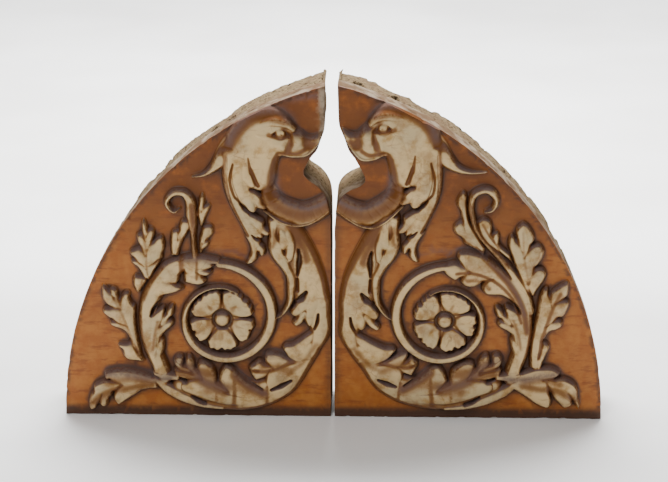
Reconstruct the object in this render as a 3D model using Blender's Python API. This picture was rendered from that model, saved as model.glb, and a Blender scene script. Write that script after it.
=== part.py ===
"""A terracotta lunette made of two pressed half blocks.

Each half is a block with a quarter of a round arch for its upper edge, notched where the beast's
mouth opens at the joint. Its face carries the beast's head, an acanthus body that rolls into a
volute round a flower, three side leaves and a tendril. The origin is under the middle of the
object, +Z is up, +X is to the right and the face looks along -Y. All sizes are in metres.
"""

import copy
import math

import bmesh
import bpy
import numpy as np

# Driving dimensions
BLOCK_WIDTH = 0.545
BLOCK_HEIGHT = 0.700
BLOCK_DEPTH = 0.150
JOINT_GAP = 0.007
RELIEF_RISE = 0.034
TOP_MARGIN_DEPTH = 0.050
ANCHOR_HOLE_WIDTH = 0.014
ANCHOR_HOLE_DEPTH = 0.030
GRID_STEP = 0.0028
FACE_TRIANGLES = 4200
ARC_STEPS = 40
JAW_SHOULDER = 0.020
ANCHOR_HOLE_SETBACK = 0.035
ANCHOR_HOLE_SHARES = {"left": (0.60, 0.78, 0.82), "right": (0.95, 0.86)}
VOLUTE_CENTRE = (220.9, 321.2)
VOLUTE_STEPS = 48
VOLUTE_TURN = (92.0, -300.0)
VOLUTE_RADII = (57.0, 48.5, 42.0, 38.0, 36.0)
VOLUTE_HALF_WIDTHS = (3.4, 4.8, 4.8, 4.2, 3.0, 1.4)
PETALS = 5
FLOWER_RADIUS = 31.5
FLOWER_EYE_RADIUS = 10.0
FLOWER_BOSS_RADIUS = 7.0
FLOWER_TURN = {"left": 90.0, "right": 78.0}
NOTCH_LEAN = 0.30
LOBE_SWELL = 0.16
CLAY_COLOUR = (0.42, 0.24, 0.11)
CLAY_ROUGHNESS = 0.55

# The drawing: the blocks as seen from above the middle, in pixels of a 668 by 482 frame
FRAME_WIDTH = 668
FRAME_HEIGHT = 482
VIEW_DOWN = math.radians(18.0)
VIEW_ROUND = math.radians(1.5)
VIEW_DISTANCE = 4.6
VIEW_FOCUS = 2300.0
DRAWN_LIFT = 0.026
JOINT_PIXEL = 332.7
NECK_TOP = (324.5, 100.0)
SNOUT_EDGE = ((324.5, 118), (324.3, 132), (320.5, 142), (317, 152), (311, 159), (303.5, 172))
JAW_EDGE = ((303.5, 177), (309, 182.5), (318, 188.5), (325.5, 197), (329.5, 207), (330.9, 220))
BASE_JOINT = {"left": (331.0, 416.0), "right": (334.5, 417.0)}
BASE_CORNER = {"left": (65.0, 413.0), "right": (606.0, 420.0)}
ARCH_TOP = {"left": (319.5, 87.0), "right": (344.3, 91.0)}

# Where the right half's landmarks lie, against the left half's
LANDMARKS = (
    ((319.5, 144.5), (345.5, 146.0)),
    ((279.0, 135.5), (385.3, 133.6)),
    ((263.0, 114.0), (402.0, 114.0)),
    ((229.0, 134.8), (438.0, 133.0)),
    ((189.4, 179.7), (491.0, 178.5)),
    ((217.0, 178.0), (451.0, 182.0)),
    ((304.0, 171.8), (365.0, 182.0)),
    ((241.5, 234.2), (430.0, 234.0)),
    ((264.5, 210.0), (402.7, 209.0)),
    ((269.3, 236.0), (399.0, 237.0)),
    ((246.0, 265.7), (419.7, 266.5)),
    ((297.0, 210.0), (372.0, 212.4)),
    ((302.0, 228.0), (369.0, 233.5)),
    ((328.7, 213.0), (337.5, 216.0)),
    ((314.0, 252.0), (356.7, 258.0)),
    ((328.7, 316.6), (338.0, 322.0)),
    ((316.6, 365.0), (351.0, 370.0)),
    ((268.0, 407.5), (397.0, 406.0)),
    ((219.7, 411.0), (450.0, 413.5)),
    ((275.4, 319.5), (394.0, 323.0)),
    ((281.5, 347.0), (398.0, 351.0)),
    ((251.0, 366.0), (418.0, 363.0)),
    ((220.9, 321.2), (447.3, 325.3)),
    ((272.0, 314.0), (394.6, 315.0)),
    ((182.0, 320.0), (489.0, 326.0)),
    ((220.0, 365.0), (446.0, 368.0)),
    ((137.0, 325.0), (537.0, 324.0)),
    ((147.0, 283.0), (524.0, 282.0)),
    ((195.0, 256.5), (480.0, 257.0)),
    ((215.0, 266.5), (447.0, 271.0)),
    ((154.0, 377.0), (523.0, 381.0)),
    ((181.0, 356.6), (497.0, 357.0)),
    ((143.0, 223.0), (528.7, 229.0)),
    ((160.0, 238.0), (515.0, 244.0)),
    ((101.0, 290.0), (572.0, 291.0)),
    ((117.0, 344.5), (554.0, 349.0)),
    ((90.0, 408.7), (582.0, 408.7)),
    ((106.0, 372.0), (563.0, 375.0)),
)


def unproject(points, lift):
    """Carries drawn pixels to the face, or to a plane that lies that far in front of it."""
    back = np.array([
        math.sin(VIEW_ROUND) * math.cos(VIEW_DOWN),
        -math.cos(VIEW_ROUND) * math.cos(VIEW_DOWN),
        math.sin(VIEW_DOWN),
    ])
    right = np.array([math.cos(VIEW_ROUND), math.sin(VIEW_ROUND), 0.0])
    up = np.cross(back, right)
    points = np.atleast_2d(np.asarray(points, dtype=float))
    ray = np.outer((points[:, 0] - FRAME_WIDTH / 2) / VIEW_FOCUS, right)
    ray += np.outer((FRAME_HEIGHT / 2 - points[:, 1]) / VIEW_FOCUS, up)
    ray -= back
    eye = VIEW_DISTANCE * back
    reach = (-lift - eye[1]) / ray[:, 1]
    hit = eye + ray * reach[:, None]
    return hit[:, [0, 2]]


def thin_plate(distance):
    """The thin plate's bending kernel."""
    return distance ** 2 * np.log(distance + 1e-9)


class Drawing:
    """One half's drawing, from pixels to metres on the block's face."""

    def __init__(self, side, own_pixels=False):
        self.side = side
        self.own_pixels = own_pixels
        joint = unproject(BASE_JOINT[side], 0.0)[0]
        corner = unproject(BASE_CORNER[side], 0.0)[0]
        top = unproject(ARCH_TOP[side], 0.0)[0]
        self.joint_x = joint[0]
        self.width = abs(corner[0] - joint[0])
        self.base = (joint[1], corner[1])
        self.height = top[1] - joint[1]
        self.pixel = BLOCK_WIDTH / abs(BASE_CORNER[side][0] - BASE_JOINT[side][0])
        source = np.array([landmark[0] for landmark in LANDMARKS])
        target = np.array([landmark[1] for landmark in LANDMARKS])
        mirrored = source * (-1.0, 1.0) + (2 * JOINT_PIXEL, 0.0)
        self.knots = mirrored
        count = len(mirrored)
        kernel = thin_plate(np.linalg.norm(mirrored[:, None] - mirrored[None], axis=2))
        plane = np.hstack([np.ones((count, 1)), mirrored])
        system = np.block([[kernel, plane], [plane.T, np.zeros((3, 3))]])
        wanted = np.vstack([target - mirrored, np.zeros((3, 2))])
        self.weights = np.linalg.solve(system, wanted)

    def place(self, points):
        """Turns the left half's pixels into this half's own."""
        points = np.atleast_2d(np.asarray(points, dtype=float))
        if self.side == "left" or self.own_pixels:
            return points
        turned = points * (-1.0, 1.0) + (2 * JOINT_PIXEL, 0.0)
        kernel = thin_plate(np.linalg.norm(turned[:, None] - self.knots[None], axis=2))
        plane = np.hstack([np.ones((len(turned), 1)), turned])
        return turned + np.hstack([kernel, plane]) @ self.weights

    def face(self, points, lift=DRAWN_LIFT):
        """Metres outward from the joint and up from the base, for the left half's pixels."""
        hit = unproject(self.place(points), lift)
        outward = np.abs(hit[:, 0] - self.joint_x) / self.width
        base = self.base[0] + (self.base[1] - self.base[0]) * outward
        upward = (hit[:, 1] - base) / self.height
        return np.stack([outward * BLOCK_WIDTH, upward * BLOCK_HEIGHT], axis=1)


def smooth_line(points, steps=8):
    """A curve through all the points, with the given number of steps between two of them."""
    points = np.asarray(points, dtype=float)
    if len(points) < 3:
        return points
    padded = np.vstack([2 * points[0] - points[1], points, 2 * points[-1] - points[-2]])
    line = []
    for index in range(1, len(padded) - 2):
        before, start, end, after = padded[index - 1:index + 3]
        for step in range(steps):
            t = step / steps
            line.append(0.5 * (
                2 * start
                + (end - before) * t
                + (2 * before - 5 * start + 4 * end - after) * t ** 2
                + (3 * start - before - 3 * end + after) * t ** 3
            ))
    line.append(points[-1])
    return np.array(line)


def along(line, outward, upward):
    """How far along a line each point lies, from 0 to 1, and how far from it, left side positive."""
    nearest = np.full(outward.shape, np.inf)
    share = np.zeros(outward.shape)
    side = np.zeros(outward.shape)
    step = np.diff(line, axis=0)
    length = np.maximum(np.linalg.norm(step, axis=1), 1e-9)
    run = np.concatenate([[0.0], np.cumsum(length)])
    for index, (start, reach) in enumerate(zip(line[:-1], step)):
        da = outward - start[0]
        db = upward - start[1]
        part = np.clip((da * reach[0] + db * reach[1]) / length[index] ** 2, 0.0, 1.0)
        gap = np.hypot(da - part * reach[0], db - part * reach[1])
        closer = gap < nearest
        nearest = np.where(closer, gap, nearest)
        share = np.where(closer, (run[index] + part * length[index]) / run[-1], share)
        side = np.where(closer, np.sign(reach[0] * db - reach[1] * da), side)
    return share, nearest, side


def quarter_round(depth, radius):
    """A rounded shoulder: 0 at the edge, 1 once it is a radius inside it."""
    inside = np.clip(depth / radius, 0.0, 1.0)
    return np.sqrt(np.clip(1.0 - (1.0 - inside) ** 2, 0.0, 1.0))


class Relief:
    """The height of one face over its field, on a square grid."""

    def __init__(self, drawing):
        self.drawing = drawing
        self.pixel = drawing.pixel
        self.outward = np.arange(-2, int(BLOCK_WIDTH / GRID_STEP) + 3) * GRID_STEP
        self.upward = np.arange(-2, int(BLOCK_HEIGHT / GRID_STEP) + 3) * GRID_STEP
        self.height = np.zeros((len(self.upward), len(self.outward)))

    def in_own_pixels(self):
        """The same face, to be drawn on in this half's own pixels."""
        twin = copy.copy(self)
        twin.drawing = Drawing(self.drawing.side, own_pixels=True)
        return twin

    def window(self, line, margin):
        """The part of the grid within a margin of a line."""
        low = line.min(axis=0) - margin
        high = line.max(axis=0) + margin
        columns = slice(*np.searchsorted(self.outward, (low[0], high[0])))
        rows = slice(*np.searchsorted(self.upward, (low[1], high[1])))
        outward, upward = np.meshgrid(self.outward[columns], self.upward[rows])
        return (rows, columns), outward, upward

    def trace(self, points, widths):
        """A drawn line's window, with each point's share along it, distance, side and half width."""
        line = smooth_line(self.drawing.face(points))
        return self.trace_line(line, np.asarray(widths, dtype=float) * self.pixel)

    def trace_line(self, line, widths):
        """As trace, for a line and widths in metres."""
        place, outward, upward = self.window(line, widths.max() + 3 * GRID_STEP)
        share, gap, side = along(line, outward, upward)
        width = np.interp(share, np.linspace(0.0, 1.0, len(widths)), widths)
        return place, share, gap, side, width

    def raise_form(self, place, height):
        """Keeps the higher of the face and a form."""
        self.height[place] = np.maximum(self.height[place], height)

    def band(self, points, widths, rise, crown=0.003, shoulder=0.009, tilt=0.0):
        """Raises a rounded band. Its rise may be one value or several along it."""
        place, share, gap, side, width = self.trace(points, widths)
        self.raise_form(place, band_height(share, gap, side, width, rise, crown, shoulder, tilt))

    def groove(self, points, widths, depth):
        """Cuts a soft channel into whatever is there."""
        place, share, gap, side, width = self.trace(points, widths)
        across = np.clip(1.0 - (gap / np.maximum(width, 1e-6)) ** 2, 0.0, 1.0)
        cut = across * depth
        self.height[place] = np.maximum(self.height[place] - cut, np.minimum(self.height[place], 0.0))

    def slot(self, points, widths, floor=0.006):
        """Drills a deep slot down to a floor."""
        place, share, gap, side, width = self.trace(points, widths)
        inside = np.clip((width - gap) / 0.002, 0.0, 1.0)
        over = np.maximum(self.height[place] - floor, 0.0)
        self.height[place] -= over * inside

    def ridge(self, points, widths, rise):
        """Adds a soft bead on top of whatever is there."""
        place, share, gap, side, width = self.trace(points, widths)
        across = np.clip(1.0 - (gap / np.maximum(width, 1e-6)) ** 2, 0.0, 1.0)
        self.height[place] += rise * across ** 0.5 * (self.height[place] > 0.004)

    def swell(self, centre, reach, rise):
        """Swells what is there into a soft mound."""
        middle = self.drawing.face([centre])
        across, upright = np.array(reach) * self.pixel
        place, outward, upward = self.window(middle, 2.5 * max(across, upright))
        away = ((outward - middle[0, 0]) / across) ** 2 + ((upward - middle[0, 1]) / upright) ** 2
        self.height[place] += rise * np.exp(-away) * (self.height[place] > 0.004)

    def boss(self, centre, radius, rise, base):
        """Raises a domed boss to a rise over a base."""
        middle = self.drawing.face([centre])
        place, outward, upward = self.window(middle, radius * self.pixel)
        gap = np.hypot(outward - middle[0, 0], upward - middle[0, 1]) / (radius * self.pixel)
        dome = base + rise * np.sqrt(np.clip(1.0 - gap ** 2, 0.0, 1.0))
        self.raise_form(place, np.where(gap < 1.0, dome, 0.0))

    def leaf(self, midrib, tips, rise, foot=5.0, notch=0.35, crown=0.004, valley=0.004, sink=0.0):
        """Raises an acanthus leaf, with a lobe to each tip and a notch and a valley between lobes.

        The tips are given in order round the leaf, from one side of its foot to the other. The
        notch is how far it cuts from the line between two tips towards the midrib, and the sink
        is how far the leaf's foot dips into what it grows out of.
        """
        rib = smooth_line(self.drawing.face(midrib))
        points = self.drawing.face(tips)
        along_foot = rib[1] - rib[0]
        along_foot /= np.linalg.norm(along_foot)
        across = np.array([-along_foot[1], along_foot[0]]) * foot * self.pixel
        if np.dot(points[0] - rib[0], across) < 0:
            across = -across
        apex = np.linalg.norm(points - rib[-1], axis=1).argmin()
        lean = np.where(np.arange(len(points) - 1) < apex, NOTCH_LEAN, 1.0 - NOTCH_LEAN)[:, None]
        between = points[:-1] * (1.0 - lean) + points[1:] * lean
        nearest = np.array([rib[np.linalg.norm(rib - spot, axis=1).argmin()] for spot in between])
        notches = between + (nearest - between) * notch
        gates = np.vstack([rib[:1] + across, notches, rib[:1] - across])
        middle = nearest.mean(axis=0)
        outline = []
        for index, tip in enumerate(points):
            outline.append(lobe_side(gates[index], tip, middle, LOBE_SWELL * (index <= apex)))
            outline.append(lobe_side(tip, gates[index + 1], middle, LOBE_SWELL * (index >= apex)))
        outline.append(gates[:1])
        outline = np.vstack(outline)
        place, outward, upward = self.window(outline, 3 * GRID_STEP)
        share, gap, side = along(outline, outward, upward)
        inside = inside_outline(outline, outward, upward)
        height = (rise - crown) * quarter_round(gap, 0.006)
        height += crown * quarter_round(gap, 0.8 * foot * self.pixel + 0.008)
        for spot, rib_spot in zip(notches, nearest):
            share, away, side = along(np.array([spot, spot + (rib_spot - spot) * 0.8]), outward, upward)
            height -= valley * np.exp(-(away / 0.0045) ** 2) * (1.0 - 0.7 * share)
        share, away, side = along(rib, outward, upward)
        height -= 0.5 * valley * np.exp(-(away / 0.0025) ** 2) * (1.0 - share)
        height -= sink * np.clip(1.0 - share / 0.5, 0.0, 1.0)
        self.raise_form(place, np.where(inside, np.maximum(height, 0.0), 0.0))


def lobe_side(start, end, middle, swell):
    """One side of a lobe, bowed away from the middle of the leaf."""
    step = end - start
    spot = (start + end) / 2
    normal = np.array([step[1], -step[0]])
    if np.dot(normal, spot - middle) < 0:
        normal = -normal
    return smooth_line([start, spot + normal * swell, end], 4)[:-1]


def inside_outline(outline, outward, upward):
    """Which grid points lie inside a closed outline, by counting the edges to one side."""
    inside = np.zeros(outward.shape, dtype=bool)
    for start, end in zip(outline[:-1], outline[1:]):
        if start[1] == end[1]:
            continue
        crosses = (start[1] > upward) != (end[1] > upward)
        reach = start[0] + (upward - start[1]) * (end[0] - start[0]) / (end[1] - start[1])
        inside ^= crosses & (outward < reach)
    return inside


def band_height(share, gap, side, width, rise, crown, shoulder, tilt):
    """A band's height: a rounded shoulder at its edges and a low crown along its middle."""
    rise = np.atleast_1d(np.asarray(rise, dtype=float))
    top = np.interp(share, np.linspace(0.0, 1.0, len(rise)), rise)
    inside = width - gap
    across = gap / np.maximum(width, 1e-6)
    height = (top - crown) * quarter_round(inside, np.minimum(shoulder, width + 1e-6))
    height += crown * (1.0 - across ** 2) + tilt * side * across
    return np.where(inside > 0.0, height, 0.0)


def carve_head(face):
    """The beast's skull, cheek, snout, brow and eye."""
    face.band(((229, 178), (231, 158), (240, 143), (255, 132), (270, 130), (283, 134)),
              (9, 13, 17, 17, 15, 11), 0.026, crown=0.005, shoulder=0.018)
    face.band(((266, 140), (258, 156), (250, 174), (243, 194)), (18, 19, 19, 14), 0.028, crown=0.003)
    face.band(((274, 150), (269, 166), (266, 184), (264, 200)), (9, 6.5, 6.5, 8), 0.027, shoulder=0.010)
    face.band(((282, 149), (297, 149), (310, 151), (317, 148.5)), (9.5, 10.5, 8, 5.5), 0.024, shoulder=0.012)
    face.band(((312, 149), (317.5, 144)), (5, 3.4), 0.025)
    face.ridge(((254, 129), (264, 126.5), (278, 126.5), (287, 128.5), (293, 132)), (1.5, 4, 5, 4.6, 3), 0.004)
    face.groove(((268, 137.5), (275, 134), (282, 133), (289, 136)), (2, 3.5, 3.5, 2.5), 0.009)
    face.groove(((272, 139), (280, 140.5), (288, 138)), (1.5, 2.2, 1.5), 0.004)
    face.boss((280, 135.6), 4.4, 0.006, 0.021)
    face.swell((264, 139.5), (6, 4), 0.003)
    face.swell((297, 146), (6.5, 7.5), 0.009)
    face.groove(((288, 138), (288.5, 147), (283, 155)), (1.6, 2.4, 1.6), 0.006)
    face.ridge(((279, 157.5), (293, 157.5), (304, 158), (313.5, 153.5), (319.5, 144)),
               (1.5, 1.6, 1.6, 1.6, 1.2), 0.003)
    face.groove(((249, 158), (250.5, 172), (257.5, 187)), (1, 2.4, 1.4), 0.006)
    face.band(((230, 156), (220, 165), (211, 173), (202, 178.5), (190.5, 181)),
              (14, 9.5, 5, 2.2, 0.8), (0.024, 0.024, 0.022, 0.020, 0.016))


def carve_mane(face):
    """The neck and the three leaves of the mane that overlap down it."""
    face.band(((231, 160), (231, 185), (239, 207), (251, 231), (256, 250), (247, 265)),
              (11, 11.5, 11, 8.5, 6, 1.5), (0.026, 0.025, 0.022, 0.020), crown=0.004)
    face.leaf(((251, 226), (256, 240), (257, 252)), ((265, 250), (262.5, 259), (254, 264.5), (247, 267.5)),
              0.025, foot=2, notch=0.35)
    face.leaf(((238, 192), (246, 212), (260, 233)), ((262, 216), (267, 226), (270.5, 239), (260.5, 242.5)),
              0.028, foot=6, notch=0.35, sink=0.004)
    face.leaf(((244, 140), (243, 170), (250, 200)),
              ((257, 188), (262, 200), (265.5, 211), (252.5, 215)), 0.032, foot=8, notch=0.35, sink=0.010)
    face.slot(((240, 205), (248.5, 214.5), (260, 217.5)), (0.8, 2.2, 0.8))
    face.slot(((251.5, 237), (260, 244.5)), (1.6, 1.2))
    face.groove(((229, 158), (226, 184), (234, 208), (246, 235)), (1.2, 1.6, 1.6, 1.2), 0.003)


def carve_jaw(face):
    """The lower jaw: a crescent with a thin lip, open to the mouth above it."""
    face.band(((267, 190), (270, 203), (279, 213), (291, 219.5), (304, 221), (320, 214.5), (331, 206)),
              (7, 7.5, 8.2, 8, 7.4, 6.4, 5.4), 0.022, crown=0.0, shoulder=0.004, tilt=0.003)
    face.band(((262.7, 213.6), (275.7, 222.3), (285.4, 226.7), (297.4, 228.3), (309.3, 226.7), (320, 220.7),
               (329, 213.5)), (1.2, 1.5, 1.6, 1.6, 1.6, 1.5, 1.3), 0.024, crown=0.001, shoulder=0.002)


def carve_body(face):
    """The body that rolls down beside the joint and along the base, wrapped in leaves."""
    face.band(((281, 226), (287, 240), (295, 258), (304, 280), (307.5, 303), (309, 326), (305, 348),
               (294, 370), (275, 388), (250, 397), (225, 397), (200, 391), (180, 384)),
              (14, 16.5, 18, 20, 21, 19, 19, 17, 15, 15, 14, 13, 10),
              (0.018, 0.020, 0.021, 0.021, 0.020), crown=0.006, shoulder=0.020)
    face.leaf(((305, 262), (309, 290), (304, 316)), ((301, 300), (292.5, 328), (310.5, 331), (319, 312)),
              0.027, foot=6, notch=0.3, sink=0.006)
    face.band(((279, 226), (281, 240), (285, 260), (291, 282), (291.5, 300), (285, 311), (275, 320.5)),
              (10, 10, 9, 6.6, 5.6, 3.6, 0.8), (0.020, 0.027, 0.028, 0.028), shoulder=0.010)
    face.slot(((297.4, 254), (298.6, 265), (296.5, 277)), (0.8, 2.7, 0.8))
    face.slot(((305.5, 293), (300, 299), (293, 308)), (2.2, 2.6, 0.8))
    face.slot(((320.4, 316), (319, 325), (312, 332)), (1.0, 1.8, 0.8), floor=0.012)
    face.leaf(((318, 338), (306, 347), (292, 352)), ((296, 345), (282, 350), (289, 360)),
              0.027, foot=11, notch=0.15, sink=0.007)
    face.leaf(((300, 366), (280, 367), (262, 370)),
              ((281, 358), (264.5, 357), (255.5, 362), (248.5, 370), (254.5, 382), (266, 388.5)),
              0.027, foot=10, notch=0.35, sink=0.007)
    face.slot(((291, 381.5), (283, 387), (273, 390.5)), (1.0, 2.4, 1.0))
    face.leaf(((262, 398), (236, 397), (206, 388), (186, 374)),
              ((225, 367.5), (201, 362), (187, 357), (175.5, 359), (173.5, 373), (184, 386)),
              0.027, foot=9, notch=0.45, sink=0.008)
    face.slot(((238, 373.5), (247, 382), (262, 388.5)), (1.2, 2.6, 1.0))
    face.slot(((174, 378), (183.5, 381)), (1.4, 1.8))
    face.band(((156, 378), (172, 392), (190, 401), (208, 407)), (4, 6, 5, 3), 0.022)
    face.slot(((191, 398.5), (203, 403)), (1.0, 2.2))


def carve_stem(face):
    """The stem that climbs from the base round to the volute, with the leaf inside it."""
    face.band(((163, 378), (153, 355), (147, 332), (147, 310), (155, 290), (171, 272), (193, 262.5),
               (216, 264)), (7.5, 8, 9, 9, 10, 10.5, 6.5, 3.5), 0.025, crown=0.005, shoulder=0.012)
    face.leaf(((154, 372), (154, 345), (158, 322)),
              ((160, 362), (164.5, 346), (173.5, 327.5), (173, 307.5), (163, 309), (150, 322)),
              0.028, foot=5, notch=0.3, sink=0.004)
    face.slot(((149.5, 314), (157, 306), (172, 304)), (1.6, 2.6, 1.8))


def carve_volute(face):
    """The ring that winds inward round the flower, and the flower itself."""
    centre = face.drawing.face([VOLUTE_CENTRE])[0]
    share = np.linspace(0.0, 1.0, VOLUTE_STEPS)
    turn = np.radians(np.interp(share, (0.0, 1.0), VOLUTE_TURN))
    quarters = np.linspace(0.0, 1.0, len(VOLUTE_RADII))
    radius = np.interp(share, quarters, VOLUTE_RADII) * face.pixel
    line = centre + np.stack([-radius * np.cos(turn), radius * np.sin(turn)], axis=1)
    place, share, gap, side, half = face.trace_line(line, np.array(VOLUTE_HALF_WIDTHS) * face.pixel)
    face.raise_form(place, band_height(share, gap, side, half, 0.024, 0.004, 0.006, 0.0))
    carve_flower(face, centre)


def carve_flower(face, centre):
    """A flower of five notched petals round a boss."""
    reach = FLOWER_RADIUS * face.pixel
    place, outward, upward = face.window(centre[None], reach)
    away = np.hypot(outward - centre[0], upward - centre[1]) / reach
    angle = np.arctan2(upward - centre[1], outward - centre[0]) - math.radians(FLOWER_TURN[face.drawing.side])
    petal = np.abs((angle / (2 * math.pi) * PETALS) % 1.0 - 0.5) * 2
    rim = 1.0 - 0.07 * np.cos(petal * math.pi * 1.5) ** 8 - 0.42 * petal ** 14
    height = 0.011 + 0.010 * np.sin(np.clip(away / rim, 0.0, 1.0) * math.pi * 0.68)
    height -= 0.009 * petal ** 8 + 0.002 * np.exp(-(petal / 0.12) ** 2)
    face.raise_form(place, np.where(away < rim, height, 0.0))
    middle = np.hypot(outward - centre[0], upward - centre[1]) / face.pixel
    ring = (middle < FLOWER_EYE_RADIUS)
    face.height[place] = np.where(ring, np.minimum(face.height[place], 0.007), face.height[place])
    boss = 0.009 + 0.011 * np.sqrt(np.clip(1.0 - (middle / FLOWER_BOSS_RADIUS) ** 2, 0.0, 1.0))
    face.raise_form(place, np.where(middle < FLOWER_BOSS_RADIUS, boss, 0.0))


def carve_leaves(face):
    """The two lower leaves that spring outward from the stem."""
    face.leaf(((139, 362), (132, 330), (118, 304)),
              ((125.5, 361), (116, 347), (108.5, 326.5), (101, 313.5), (100.5, 288), (124.3, 292),
               (134.5, 309)),
              0.023, foot=6, notch=0.4)
    face.leaf(((157, 383), (132, 381), (111, 385), (99, 400)),
              ((127, 371.5), (105, 374), (91.5, 387), (90.5, 411), (102, 409), (117, 407), (127, 400.5)),
              0.023, foot=6, notch=0.35)


def carve_left_spray(face):
    """The left half's tendril, its upper side leaf and the leaf that turns in over the volute."""
    face.leaf(((155, 284), (150, 256), (144.5, 234)),
              ((133, 267), (129, 251), (135, 235), (143.3, 223.5), (160.5, 236.5), (163.5, 257)),
              0.023, foot=9, notch=0.4)
    face.leaf(((152, 296), (138, 286)), ((135, 294.5), (131, 280), (142, 277)), 0.022, foot=5, notch=0.3)
    face.band(((192, 258), (191, 240), (190.5, 222), (189, 206), (183, 197), (174, 195.5), (167.5, 199.5),
               (165.3, 206), (167.5, 212), (173, 215), (178, 212)),
              (3, 2.6, 2.4, 4, 5.2, 4.4, 3.4, 3, 2.6, 2, 0.8), 0.022, shoulder=0.007)
    face.leaf(((170, 259), (177, 244), (184, 232)), ((170, 237), (181, 222.5), (188.5, 225.5), (188, 240)),
              0.021, foot=2, notch=0.4)
    face.leaf(((199, 229), (201, 214), (201, 203)), ((196.5, 212), (201, 196), (209.5, 211)),
              0.021, foot=1.5, notch=0.3)
    face.leaf(((198, 255), (202, 244), (206, 234)), ((199, 240), (206, 228), (212.5, 230.5), (206, 249.5)),
              0.021, foot=2, notch=0.3)
    face.leaf(((152, 312), (161, 290), (178, 275)), ((170, 297), (181.5, 292), (181, 268)),
              0.029, foot=8, notch=0.1, sink=0.004)
    face.leaf(((174, 276), (190, 274), (206, 272)),
              ((192, 261), (204, 263.5), (213, 269), (211, 277), (203.5, 286.5), (194, 287.5)),
              0.031, foot=8, notch=0.3, sink=0.006)
    face.slot(((180.5, 264), (180.5, 284)), (0.9, 1.2), floor=0.016)


def carve_right_spray(face):
    """The right half's tendril, side leaf and turned-in leaf, which differ from the left half's."""
    face.leaf(((535, 302), (529, 278), (527.5, 256), (527.5, 236)),
              ((519, 275), (512.5, 243), (520.5, 233), (528.5, 228), (539.5, 244), (548, 255), (550.5, 280)),
              0.023, foot=5, notch=0.35)
    face.leaf(((515, 268), (501, 251.5), (490.5, 239), (485.5, 229)),
              ((480.5, 232), (487, 223), (495, 230), (502, 239)), 0.022, foot=3, notch=0.35)
    face.leaf(((487, 256), (474, 247), (468, 232), (467, 215)),
              ((465, 249.5), (455.5, 234), (459.5, 217), (467.5, 199.5), (470.5, 214)),
              0.021, foot=4, notch=0.4)
    face.band(((534, 316), (527, 297), (516, 279), (503, 263), (491, 251), (480, 237), (475, 222), (474, 212),
               (477, 202), (486.5, 196.5), (495.5, 200), (499.5, 208), (496, 216), (488, 218.5)),
              (5, 6, 5.5, 4.6, 4, 3.2, 2.8, 2.6, 3, 3.2, 3.8, 4, 3, 0.8), 0.023, shoulder=0.007)
    face.leaf(((527, 316), (519, 299), (506, 287), (492, 279), (474, 276), (457, 276)),
              ((487, 260.5), (463, 257.5), (452, 267), (445.5, 276), (456.5, 285), (468, 292), (489, 300),
               (507, 301)),
              0.029, foot=7, notch=0.3, sink=0.004)
    face.slot(((479, 255), (485, 258), (489, 262)), (0.6, 1.2, 0.8), floor=0.012)


def soften(height, passes=1):
    """Rounds the grid's sharpest steps, as pressed clay is."""
    for _ in range(passes):
        padded = np.pad(height, 1, mode="edge")
        height = (
            4 * padded[1:-1, 1:-1]
            + 2 * (padded[:-2, 1:-1] + padded[2:, 1:-1] + padded[1:-1, :-2] + padded[1:-1, 2:])
            + padded[:-2, :-2] + padded[:-2, 2:] + padded[2:, :-2] + padded[2:, 2:]
        ) / 16
    return height


def carved_face(drawing):
    """The whole relief of one half, as a grid of heights."""
    face = Relief(drawing)
    carve_leaves(face)
    carve_volute(face)
    carve_body(face)
    carve_stem(face)
    if drawing.side == "left":
        carve_left_spray(face)
    else:
        carve_right_spray(face.in_own_pixels())
    carve_jaw(face)
    carve_head(face)
    carve_mane(face)
    face.height = soften(np.clip(face.height, 0.0, RELIEF_RISE))
    return face


def arch_point(share, width, height, inset):
    """A point of the arch's edge, from the base corner at 0 to the joint at 1."""
    radius = (width ** 2 + height ** 2) / (2 * width)
    centre = width - radius
    last = math.acos(min((inset - centre) / radius, 1.0))
    angle = share * last
    return (centre + radius * math.cos(angle), radius * math.sin(angle))


def block_outline(drawing):
    """The block's edge: base, arch, the neck above the snout, and the notch of the mouth."""
    inset = drawing.face([NECK_TOP], 0.0)[0, 0]
    edge = [arch_point(index / ARC_STEPS, BLOCK_WIDTH, BLOCK_HEIGHT, inset) for index in range(ARC_STEPS + 1)]
    for line in (SNOUT_EDGE, JAW_EDGE):
        edge += [tuple(point) for point in smooth_line(drawing.face(line, 0.0), 3)]
    edge.append((0.0, edge[-1][1] - JAW_SHOULDER))
    edge.append((0.0, 0.0))
    return edge


def new_object(name, mesh, collection):
    """Puts a mesh in a collection as a named object."""
    item = bpy.data.objects.new(name, mesh)
    collection.objects.link(item)
    return item


def as_cutter(item):
    """Shows a cutter as wires and keeps it out of renders."""
    item.hide_render = True
    item.display_type = "WIRE"
    return item


def prism(name, outline, front, back, collection):
    """A flat outline in the XZ plane, given its thickness along Y."""
    curve = bpy.data.curves.new(name, "CURVE")
    curve.dimensions = "2D"
    curve.fill_mode = "BOTH"
    curve.extrude = (back - front) / 2
    spline = curve.splines.new("POLY")
    spline.points.add(len(outline) - 1)
    for point, (x, z) in zip(spline.points, outline):
        point.co = (x, z, 0.0, 1.0)
    spline.use_cyclic_u = True
    drawn = new_object(name + "_curve", curve, collection)
    drawn.rotation_euler = (math.pi / 2, 0.0, 0.0)
    drawn.location = (0.0, (front + back) / 2, 0.0)
    bpy.context.view_layer.update()
    evaluated = drawn.evaluated_get(bpy.context.evaluated_depsgraph_get())
    mesh = bpy.data.meshes.new_from_object(evaluated)
    mesh.transform(drawn.matrix_world)
    bpy.data.objects.remove(drawn)
    weld(mesh)
    return new_object(name, mesh, collection)


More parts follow.
